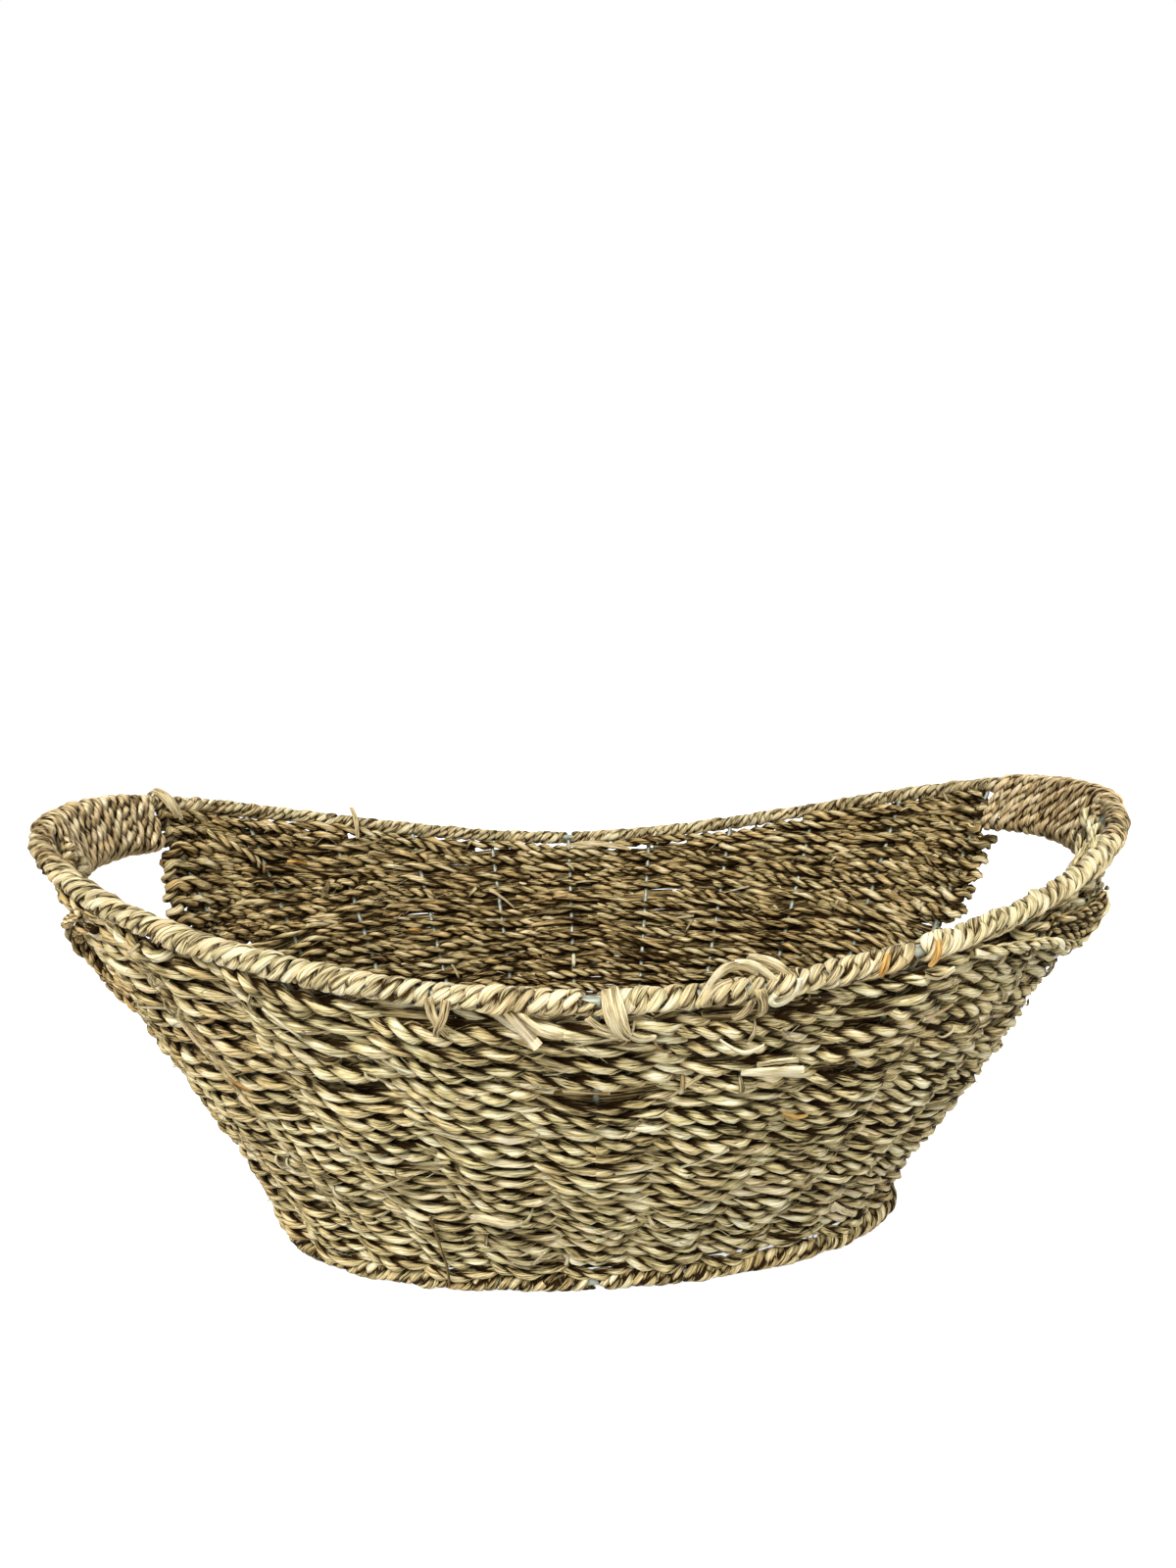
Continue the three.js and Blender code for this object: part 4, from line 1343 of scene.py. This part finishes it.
def make_loose_fibres():
    """Ties, then fibres, then leaves, each at a random spot of a random rope."""
    for label, outwards, ties, fibres, leaves in LOOSE_GRASS:
        rope = RopeMesh()
        placed = -ties
        while placed < fibres + leaves:
            points, normal, facing = woven[rng.integers(len(woven))]
            spot = rng.integers(END_MARGIN, len(points) - END_MARGIN)
            if facing[spot] * outwards < LEAST_FACING:
                continue
            trim = END_TRIM if abs(points[spot][0]) > TRIMMED_FROM else 1.0
            if placed < 0:
                add_tie(rope, points, normal, spot, outwards)
            else:
                lengths, half_widths, lifts, section = FIBRE_KIND if placed < fibres else LEAF_KIND
                length = rng.uniform(*lengths) * trim
                half_width = rng.uniform(*half_widths)
                lift = rng.uniform(*lifts) * trim
                add_fibre(rope, points, normal, spot, outwards, length, half_width, lift, section)
            placed += 1
        rope.finish(f"loose_grass_{label}", wall_grass, "wall_rope")


# Loose ropes, straps and stems. Each stop on their way is a place, a level and how far it is off the wall

def way_through(stops, count):
    """A smooth line through the stops, and the wall's normal along it."""
    stops = np.array(stops)
    spot = np.linspace(0, len(stops) - 1, count)
    first = np.minimum(spot.astype(int), len(stops) - 2)
    share = (spot - first)[:, None]
    before, here = stops[np.maximum(first - 1, 0)], stops[first]
    after, beyond = stops[first + 1], stops[np.minimum(first + 2, len(stops) - 1)]
    bend = 2 * before - 5 * here + 4 * after - beyond
    swell = 3 * here - before - 3 * after + beyond
    way = here + 0.5 * share * (after - before + share * (bend + share * swell))
    normal = wall_normal(way[:, 0])
    return wall_point(way[:, 0], way[:, 1]) + normal * way[:, 2:], normal


LOOSE_TRACE_STEPS = 60
LOOSE_STEP = 0.9

# Loose ropes: half the depth and half the height in millimetres, lay, tone, warmth and the stops. One without
# a lay is a single blade
LOOSE_ROPES = {
    "right_end": (1.9, 2.3, 13.0, 0.66, 0.0, [
        (2.4, 0.975, 4.5), (2.75, 0.958, 6.6), (3.1, 0.935, 8.4), (3.45, 0.892, 9.8), (3.78, 0.863, 10.2),
        (3.92, 0.878, 10.3), (4.02, 0.903, 9.8), (4.05, 0.93, 7.0)]),
    "right_fill_1": (1.9, 2.2, 12.0, 0.42, 0.3, [
        (3.2, 0.955, 4.5), (3.55, 0.937, 6.6), (3.85, 0.927, 8.0), (4.0, 0.925, 8.0)]),
    "right_fill_2": (1.9, 2.2, 12.0, 0.42, 0.3, [
        (3.2, 0.935, 5.0), (3.55, 0.913, 7.2), (3.85, 0.902, 8.6), (3.97, 0.902, 8.6)]),
    "right_fill_3": (1.9, 2.2, 12.0, 0.3, 0.35, [
        (3.3, 0.91, 5.5), (3.6, 0.89, 7.8), (3.8, 0.882, 8.8), (3.9, 0.884, 8.8)]),
    "left_turn_2": (1.8, 2.1, 12.0, 0.58, 0.7, [
        (-3.75, 0.965, 4.0), (-3.95, 0.94, 6.0), (-4.2, 0.905, 7.4), (-4.34, 0.875, 8.2), (-4.4, 0.848, 8.8),
        (-4.42, 0.82, 8.4), (-4.4, 0.795, 7.4), (-4.2, 0.775, 6.0), (-3.9, 0.76, 4.0)]),
    "left_turn_3": (2.3, 2.6, 13.0, 0.48, 0.7, [
        (-3.8, 0.79, 3.5), (-4.2, 0.78, 5.5), (-4.5, 0.755, 6.6), (-4.5, 0.725, 6.2), (-4.1, 0.705, 4.5)]),
    "left_turn_4": (2.6, 3.0, 13.0, 0.34, 0.6, [
        (-3.7, 0.935, 3.5), (-4.0, 0.91, 5.0), (-4.2, 0.88, 5.6), (-4.35, 0.85, 6.0), (-4.4, 0.82, 6.2),
        (-4.4, 0.79, 6.0), (-4.3, 0.765, 5.5), (-4.0, 0.75, 4.0)]),
    "rim_curl": (0.7, 1.15, 0, 1.0, -0.05, [
        (1.1, 1.052, 6.4), (1.1, 1.038, 7.4), (1.07, 1.024, 8.2), (1.03, 1.014, 8.4), (0.985, 1.01, 8.2),
        (0.955, 1.018, 7.8), (0.97, 1.03, 7.6)]),
    "back_crossing": (1.9, 2.1, 12.0, 0.55, 0.5, [
        (16.6, 0.92, -3.0), (16.5, 0.895, -6.5), (16.35, 0.865, -8.0), (16.2, 0.84, -7.5),
        (16.05, 0.81, -3.0)]),
    "brown_stalk": (0.55, 0.65, 0, 0.3, 0.9, [
        (-1.88, 0.3, 6.0), (-1.95, 0.2, 8.0), (-2.02, 0.12, 8.5), (-2.1, 0.04, 8.5)]),
}


def make_loose_ropes():
    """Ends of rope that lie on the weave."""
    for label, (half_depth, half_height, lay, tone, warmth, stops) in LOOSE_ROPES.items():
        rough, _ = way_through(stops, LOOSE_TRACE_STEPS)
        points, normal = way_through(stops, round(spans(rough).sum() / LOOSE_STEP))
        rope = RopeMesh()
        section = ROPE if lay else BLADE
        rope.add(points, normal, half_depth, half_height, lay=lay, tone=tone, warmth=warmth, section=section)
        rope.finish(f"loose_rope_{label}", wall_grass, "wall_rope")


# The cord down the leg of each grip bow that is nearer the front: two strands, by how far along the rim and
# off the wall they lie, and their stops, as shares of the leg from the rim down
LEG_STRANDS = ((-0.05, -3.4), (0.08, -1.2))
LEG_STOPS = (-0.05, 0.25, 0.6, 1.0)
LEG_STEPS = 30
LEG_CORD = {"half_depth": 2.3, "half_height": 2.5, "lay": 11.0, "tone": 0.66, "warmth": 0.15}


def make_leg_cords():
    """Two strands inside one leg of each grip bow."""
    for side, (label, tip) in enumerate(TIPS):
        place = grip_span(tip)[side]
        drop = GRIP_DROP / wall_length(place)
        rope = RopeMesh()
        for spread, out in LEG_STRANDS:
            stops = [(place + spread * (1 - 2 * side), 1 - drop * share, out) for share in LEG_STOPS]
            points, normal = way_through(stops, LEG_STEPS)
            rope.add(points, normal, **LEG_CORD)
        rope.finish(f"leg_cord_{label}", grip_grass, "grip_cord")


# Straps: a name, stops on the wall, widths and thickness in millimetres, tone and warmth
STRAPS = (
    ("over_rim", [(0.07, 1.005, -3.2), (0.08, 1.028, -1.0), (0.09, 1.026, 3.0), (0.11, 1.005, 6.2),
                  (0.135, 0.98, 7.0), (0.165, 0.96, 6.6), (0.2, 0.94, 5.0)],
     (3.2, 4.6, 6.0, 6.4, 5.4, 3.6, 2.2), 1.3, 0.66, 0.2),
    ("over_rim_left", [(0.05, 1.01, -2.8), (0.055, 1.024, 1.0), (0.065, 1.01, 5.0), (0.09, 0.985, 6.4),
                       (0.13, 0.965, 5.6)], (2.0, 2.8, 3.2, 2.8, 1.6), 1.2, 0.6, 0.25),
    ("over_rim_low", [(0.17, 0.962, 6.0), (0.25, 0.95, 7.0), (0.34, 0.942, 5.5)],
     (2.2, 2.8, 1.8), 1.0, 0.74, 0.0),
    ("weld_end", [(-0.055, 1.005, 6.4), (0.02, 0.985, 7.2), (0.1, 0.962, 5.5)],
     (2.3, 2.1, 1.4), 0.8, 0.6, 0.15),
    ("leaf_end", [(-0.47, 0.99, 2.5), (-0.38, 0.98, 6.0), (-0.29, 0.974, 7.6), (-0.2, 0.968, 7.8)],
     (2.8, 3.6, 3.8, 3.2), 0.9, 0.7, 0.05),
    ("left_tie_1", [(-0.96, 1.02, 4.5), (-0.96, 0.99, 6.0), (-0.93, 0.965, 6.5), (-0.91, 0.94, 6.0)],
     (2.8, 2.8, 2.4, 1.6), 1.0, 0.55, 0.3),
    ("left_tie_2", [(-0.86, 1.02, 4.5), (-0.89, 0.99, 6.6), (-0.94, 0.965, 7.2), (-0.98, 0.935, 6.0)],
     (2.6, 2.4, 2.2, 1.4), 1.0, 0.5, 0.35),
    ("white_strip", [(0.73, 0.925, 6.5), (0.83, 0.9, 7.6), (0.92, 0.888, 8.0), (1.01, 0.9, 7.6)],
     (0.7, 1.4, 2.2, 1.7), 0.5, 1.0, -0.1),
    ("cut_strap", [(0.93, 0.826, 6.8), (1.04, 0.83, 8.2), (1.18, 0.828, 9.2), (1.33, 0.822, 9.8)],
     (2.2, 3.4, 4.2, 4.5), 1.1, 0.86, 0.0),
    ("cut_strap_2", [(1.02, 0.843, 7.0), (1.14, 0.848, 7.6), (1.29, 0.844, 8.0)],
     (1.4, 2.0, 2.0), 0.9, 0.72, 0.0),
    ("rim_loop_1", [(0.56, 1.0, 3.8), (0.62, 1.022, 1.2), (0.69, 1.037, -2.0), (0.77, 1.041, -4.0),
                    (0.86, 1.036, -4.0), (0.94, 1.022, -2.5)],
     (2.2, 3.0, 3.4, 3.6, 3.2, 2.2), 1.3, 0.66, 0.05),
    ("rim_loop_2", [(0.79, 1.045, -4.6), (0.87, 1.046, -3.4), (0.95, 1.036, -1.6), (1.03, 1.018, 0.8)],
     (1.6, 2.6, 2.6, 1.8), 1.2, 0.7, 0.0),
    ("rim_loop_3", [(0.88, 1.045, -6.0), (0.98, 1.041, -4.6), (1.07, 1.03, -2.4), (1.16, 1.01, 0.8)],
     (2.0, 2.8, 2.8, 1.8), 1.2, 0.64, 0.1),
    ("rim_loop_4", [(0.58, 1.006, 4.4), (0.64, 1.023, 2.2), (0.7, 1.029, 0.4), (0.77, 1.026, -0.8)],
     (1.4, 1.8, 1.7, 1.0), 1.0, 0.6, 0.1),
    ("rim_tie_1", [(0.9, 1.03, 4.4), (0.93, 1.008, 6.3), (0.94, 0.988, 6.6), (0.94, 0.97, 5.5)],
     (3.4, 3.4, 3.0, 2.0), 1.1, 0.5, 0.25),
    ("rim_tie_2", [(0.87, 1.012, 6.0), (0.83, 0.988, 6.6), (0.79, 0.97, 5.5)],
     (1.8, 2.8, 2.0), 1.0, 0.46, 0.25),
    ("low_end", [(3.2, 0.18, 6.0), (3.5, 0.14, 7.4), (3.8, 0.11, 8.0)], (2.4, 3.0, 2.8), 0.9, 0.72, 0.0),
    ("folded", [(-1.36, 0.325, 6.0), (-1.2, 0.34, 7.6), (-1.05, 0.338, 8.2), (-0.92, 0.33, 8.0),
                (-0.8, 0.32, 6.5)],
     (2.6, 5.0, 5.4, 4.2, 2.4), 1.2, 0.7, 0.05),
    ("back_leaf", [(12.05, 0.955, -5.5), (11.85, 0.962, -7.2), (11.6, 0.956, -7.6), (11.35, 0.94, -7.2),
                   (11.22, 0.93, -6.0)], (1.6, 3.2, 3.6, 2.8, 1.2), 0.7, 0.66, 0.3),
    ("back_tie", [(14.7, 1.045, -4.0), (14.7, 1.01, -6.5), (14.72, 0.97, -7.0), (14.74, 0.935, -5.5)],
     (2.4, 2.6, 2.4, 1.6), 0.9, 0.62, 0.3),
    ("left_tuft_1", [(16.91, 0.955, -5.5), (16.94, 0.985, -6.6), (16.97, 1.014, -5.6), (17.0, 1.034, -2.0),
                     (17.03, 1.022, 2.5)], (3.0, 4.6, 5.2, 4.4, 2.8), 1.3, 0.66, 0.2),
    ("left_tuft_2", [(16.87, 0.95, -5.2), (16.89, 0.985, -6.2), (16.92, 1.012, -5.2), (16.95, 1.028, -2.5),
                     (16.98, 1.02, 1.5)], (2.0, 3.0, 3.6, 3.2, 2.0), 1.2, 0.56, 0.3),
    ("right_end_over", [(2.02, 0.97, 5.0), (2.1, 0.965, 7.0), (2.18, 0.98, 7.6)],
     (2.4, 2.8, 2.2), 0.9, 0.66, 0.05),
)
RUSTY_STRANDS = (
    ("rim_1", [(1.655, 1.004, 5.4), (1.67, 1.02, 4.4), (1.7, 1.033, 2.0)], (1.6, 2.8, 2.0), 0.9, 0.5, 0.0),
    ("rim_2", [(2.035, 0.985, 4.6), (2.04, 1.01, 5.0), (2.055, 1.028, 2.0)], (1.6, 2.6, 2.0), 0.9, 0.5, 0.0),
    ("back_1", [(15.75, 0.84, -5.4), (15.62, 0.842, -6.3), (15.5, 0.838, -5.4)],
     (1.4, 2.6, 1.6), 0.6, 0.4, 0.0),
    ("back_2", [(14.4, 0.64, -5.4), (14.3, 0.642, -6.3), (14.2, 0.638, -5.4)],
     (1.2, 2.2, 1.4), 0.6, 0.35, 0.0),
    ("front_left", [(-3.2, 0.64, 5.4), (-3.08, 0.632, 6.4), (-2.96, 0.63, 5.4)],
     (1.2, 2.2, 1.4), 0.6, 0.45, 0.0),
    ("front_right", [(1.42, 0.655, 5.4), (1.55, 0.64, 6.4), (1.66, 0.63, 5.4)],
     (1.2, 2.2, 1.4), 0.6, 0.45, 0.0),
)


STRAP_SWELL = 0.22
STRAP_EDGE_SHARE = 0.2
STRAP_SMOOTH_ANGLE = 50

# The grain of a strap: the steps in which it is followed, the width of one turn of streaks, and two sets of
# stripes, across it and along it
GRAIN_STEPS = 80
GRAIN_WIDTH = 12
CROSS_STRIPE_TONE = 0.12
CROSS_STRIPE_LENGTH = 2.3
LONG_STRIPE_TONE = 0.14
LONG_STRIPE_COUNT = 31
LONG_STRIPE_SLANT = 5


def soften(piece, edge_width, smooth_angle):
    """Rounds the edges of the active piece and shades it smooth up to an angle."""
    edge = piece.modifiers.new("Soft edge", "BEVEL")
    edge.width = edge_width * MM
    edge.segments = 2
    bpy.ops.object.modifier_apply(modifier=edge.name)
    bpy.ops.object.shade_smooth_by_angle(angle=math.radians(smooth_angle))


def make_strap(label, stops, widths, thickness, tone, warmth, material):
    """A flat blade: a plane whose end is extruded from stop to stop, then rounded and given its thickness."""
    count = 2 * len(stops) - 1
    points, normal = way_through(stops, count)
    wide = np.interp(np.linspace(0, len(stops) - 1, count), np.arange(len(stops)), widths)
    out = unit(normal.mean(axis=0))
    across = unit(np.cross(points[-1] - points[0], out))
    bpy.ops.object.select_all(action="DESELECT")
    bpy.ops.mesh.primitive_grid_add(x_subdivisions=1, y_subdivisions=2, size=2)
    strap = bpy.context.active_object
    strap.name = f"grass_strap_{label}"
    for vertex in strap.data.vertices:
        step = 0 if vertex.co.x < 0 else 1
        swell = STRAP_SWELL * wide[step] * (1 - abs(vertex.co.y))
        spot = points[step] + across * vertex.co.y * wide[step] / 2 + out * swell
        vertex.co = spot * MM
        vertex.select = step == 1
    far_end = [vertex.index for vertex in strap.data.vertices if vertex.select]
    for edge in strap.data.edges:
        edge.select = all(index in far_end for index in edge.vertices)
    for face in strap.data.polygons:
        face.select = False
    bpy.ops.object.mode_set(mode="EDIT")
    bpy.ops.mesh.select_mode(type="EDGE")
    for step in range(2, count):
        move = Vector((points[step] - points[step - 1]) * MM)
        bpy.ops.mesh.extrude_region_move(TRANSFORM_OT_translate={"value": move})
        grow = wide[step] / wide[step - 1]
        bpy.ops.transform.resize(value=(grow, grow, grow), center_override=Vector(points[step] * MM))
    bpy.ops.object.mode_set(mode="OBJECT")
    rounding = strap.modifiers.new("Rounding", "SUBSURF")
    rounding.levels = rounding.render_levels = 2
    rounding.boundary_smooth = "PRESERVE_CORNERS"
    shell = strap.modifiers.new("Thickness", "SOLIDIFY")
    shell.thickness = thickness * MM
    shell.offset = 0
    for name in ("Rounding", "Thickness"):
        bpy.ops.object.modifier_apply(modifier=name)
    soften(strap, thickness * STRAP_EDGE_SHARE, STRAP_SMOOTH_ANGLE)
    mark_grain(strap, points, across, tone, warmth)
    return settle(strap, material, "wall_rope")


def mark_grain(piece, points, across, tone, warmth):
    """The attributes and the UV map that the grass material reads, with the grain along the points."""
    mesh = piece.data
    place = np.zeros(len(mesh.vertices) * 3)
    mesh.vertices.foreach_get("co", place)
    place = place.reshape(-1, 3) / MM
    reached = distances_along(points)
    fine = np.linspace(0, reached[-1], GRAIN_STEPS)
    line = np.stack([np.interp(fine, reached, points[:, axis]) for axis in range(3)], axis=1)
    nearest = np.linalg.norm(place[:, None] - line[None], axis=2).argmin(axis=1)
    start = rng.uniform(0, STREAK_STARTS)
    u = start + fine[nearest]
    v = ((place - line[nearest]) @ across) / GRAIN_WIDTH
    corner = np.array([loop.vertex_index for loop in mesh.loops])
    for layer in list(mesh.uv_layers):
        mesh.uv_layers.remove(layer)
    shades = tone + CROSS_STRIPE_TONE * np.sin(u / CROSS_STRIPE_LENGTH)
    shades = shades + LONG_STRIPE_TONE * np.sin(v * LONG_STRIPE_COUNT + u / LONG_STRIPE_SLANT)
    uvs = np.stack([u[corner], v[corner]], axis=1)
    mark_for_grass(mesh, uvs, shades, np.full(len(u), warmth), np.ones(len(u)))


# The cut stem: where it starts and ends, as for the loose ropes, and its sizes in millimetres
STEM_STOPS = [(-0.56, 1.0, 2.0), (-0.355, 0.955, 9.5)]
STEM_RADIUS = 1.75
STEM_SIDES = 20
STEM_EDGE = 0.15
STEM_SMOOTH_ANGLE = 40
STEM_TONE = 0.22
STEM_WARMTH = 0.3

# The white pith: the length of stem that has its colour, where that changes, and two steps at the cut face,
# each drawn in and then raised
PITH_LENGTH = 1.7
PITH_EDGE = 0.3
PITH_TONE = 2.5
PITH_STEPS = ((0.35, 0.5), (0.5, 0.25))


def make_cut_stem():
    """A stem cut off square below the front rim, with its white pith showing."""
    ends, _ = way_through(STEM_STOPS, 2)
    way = ends[1] - ends[0]
    length = np.linalg.norm(way)
    turn = Vector(way).to_track_quat("Z", "Y")
    bpy.ops.object.select_all(action="DESELECT")
    middle = ends.mean(axis=0) - way / length * PITH_LENGTH / 2
    bpy.ops.mesh.primitive_cylinder_add(vertices=STEM_SIDES, radius=STEM_RADIUS * MM,
                                        depth=(length - PITH_LENGTH) * MM, location=middle * MM,
                                        rotation=turn.to_euler())
    stem = bpy.context.active_object
    stem.name = "cut_stem"
    bpy.ops.object.transform_apply(location=True, rotation=True, scale=True)
    heading = Vector(way).normalized()
    for face in stem.data.polygons:
        face.select = face.normal.dot(heading) > 0.9
    bpy.ops.object.mode_set(mode="EDIT")
    bpy.ops.mesh.select_mode(type="FACE")
    for step in (PITH_EDGE, PITH_LENGTH - PITH_EDGE):
        bpy.ops.mesh.extrude_region_move(TRANSFORM_OT_translate={"value": heading * step * MM})
    for inset, rise in PITH_STEPS:
        bpy.ops.mesh.inset(thickness=inset * MM)
        bpy.ops.transform.translate(value=heading * rise * MM)
    bpy.ops.object.mode_set(mode="OBJECT")
    soften(stem, STEM_EDGE, STEM_SMOOTH_ANGLE)
    across = unit(np.cross(way, [0.0, 0.0, 1.0]))
    mark_grain(stem, ends, across, STEM_TONE, STEM_WARMTH)
    place = np.array([vertex.co for vertex in stem.data.vertices]) / MM
    at_end = (place - ends[0]) @ (way / length) > length - PITH_LENGTH + PITH_EDGE / 2
    tones = np.where(at_end, PITH_TONE, STEM_TONE).astype(np.float32)
    stem.data.attributes["tone"].data.foreach_set("value", tones)
    settle(stem, wrap_grass, "wall_rope")


def make_straps():
    for label, *rest in STRAPS:
        make_strap(label, *rest, wrap_grass)
    for label, *rest in RUSTY_STRANDS:
        make_strap(f"rusty_{label}", *rest, rusty_grass)
    make_cut_stem()


make_wall()
make_shade_filler()
make_upper_weaves()
make_edge_turns()
make_floor()
make_wraps()
make_grips()
make_loose_fibres()
make_loose_ropes()
make_leg_cords()
make_straps()


# Floor, light and camera

def camera_ray_only(tree):
    """One where the camera sees the surface, directly, in a mirror or through glass."""
    path = add_node(tree, "ShaderNodeLightPath").outputs
    seen = do_math(tree, "ADD", path["Is Camera Ray"], path["Is Glossy Ray"], clamp=True)
    return do_math(tree, "ADD", seen, path["Is Transmission Ray"], clamp=True)


STUDIO_SIZE = 40
SKY_LIGHT = 0.31
FLOOR_GREY = 0.6
FLOOR_ROUGHNESS = 0.8
FLOOR_GLOW = 0.8
LAMP_AIM = Vector((0, 0, 0.1))
# Lamps: a name, where it hangs and how wide it is, in metres, and its power in watts
LAMPS = (
    ("key_lamp", (-0.5, -1.45, 1.7), 0.7, 63.5),
    ("fill_lamp", (1.3, -1.0, 0.9), 1.2, 8),
    ("back_lamp", (0.5, 1.5, 1.0), 1.2, 12),
)


def make_studio():
    """A white background and a pale floor, with three soft lamps."""
    world = bpy.data.worlds.new("Studio")
    bpy.context.scene.world = world
    world.use_nodes = True
    tree = world.node_tree
    back = tree.nodes["Background"]
    share = camera_ray_only(tree)
    back.inputs["Color"].default_value = (1, 1, 1, 1)
    strength = do_math(tree, "ADD", do_math(tree, "MULTIPLY", share, 1 - SKY_LIGHT), SKY_LIGHT)
    tree.links.new(strength, back.inputs["Strength"])

    bpy.ops.mesh.primitive_plane_add(size=STUDIO_SIZE)
    floor = bpy.context.active_object
    floor.name = "studio_floor"
    material, tree, shader = new_material("Pale floor")
    shader.inputs["Base Color"].default_value = (FLOOR_GREY, FLOOR_GREY, FLOOR_GREY, 1)
    shader.inputs["Roughness"].default_value = FLOOR_ROUGHNESS
    shader.inputs["Emission Color"].default_value = (1, 1, 1, 1)
    glow = do_math(tree, "MULTIPLY", camera_ray_only(tree), FLOOR_GLOW)
    tree.links.new(glow, shader.inputs["Emission Strength"])
    floor.data.materials.append(material)

    for name, spot, size, power in LAMPS:
        lamp = bpy.data.lights.new(name, "AREA")
        lamp.energy = power
        lamp.size = size
        holder = bpy.data.objects.new(name, lamp)
        bpy.context.scene.collection.objects.link(holder)
        holder.location = spot
        holder.rotation_euler = (LAMP_AIM - Vector(spot)).to_track_quat("-Z", "Y").to_euler()


def make_camera():
    """The camera stands where the photograph was taken from."""
    right = Vector((0.99857329, -0.05061642, -0.01701094))
    up = Vector((0.02215451, 0.1028595, 0.99444914))
    forward = Vector((0.04858572, 0.99340722, -0.10383413))
    data = bpy.data.cameras.new("photo_camera")
    data.sensor_width = 36
    data.lens = 19.35
    data.clip_start = 0.01
    data.clip_end = 100
    camera = bpy.data.objects.new("photo_camera", data)
    bpy.context.scene.collection.objects.link(camera)
    turn = Matrix((right, up, -forward)).transposed().to_4x4()
    camera.matrix_world = Matrix.Translation(Vector((-19.12091, -390.95541, 247.96392)) * MM) @ turn
    bpy.context.scene.camera = camera


make_studio()
make_camera()
bpy.context.scene.view_settings.view_transform = "Standard"
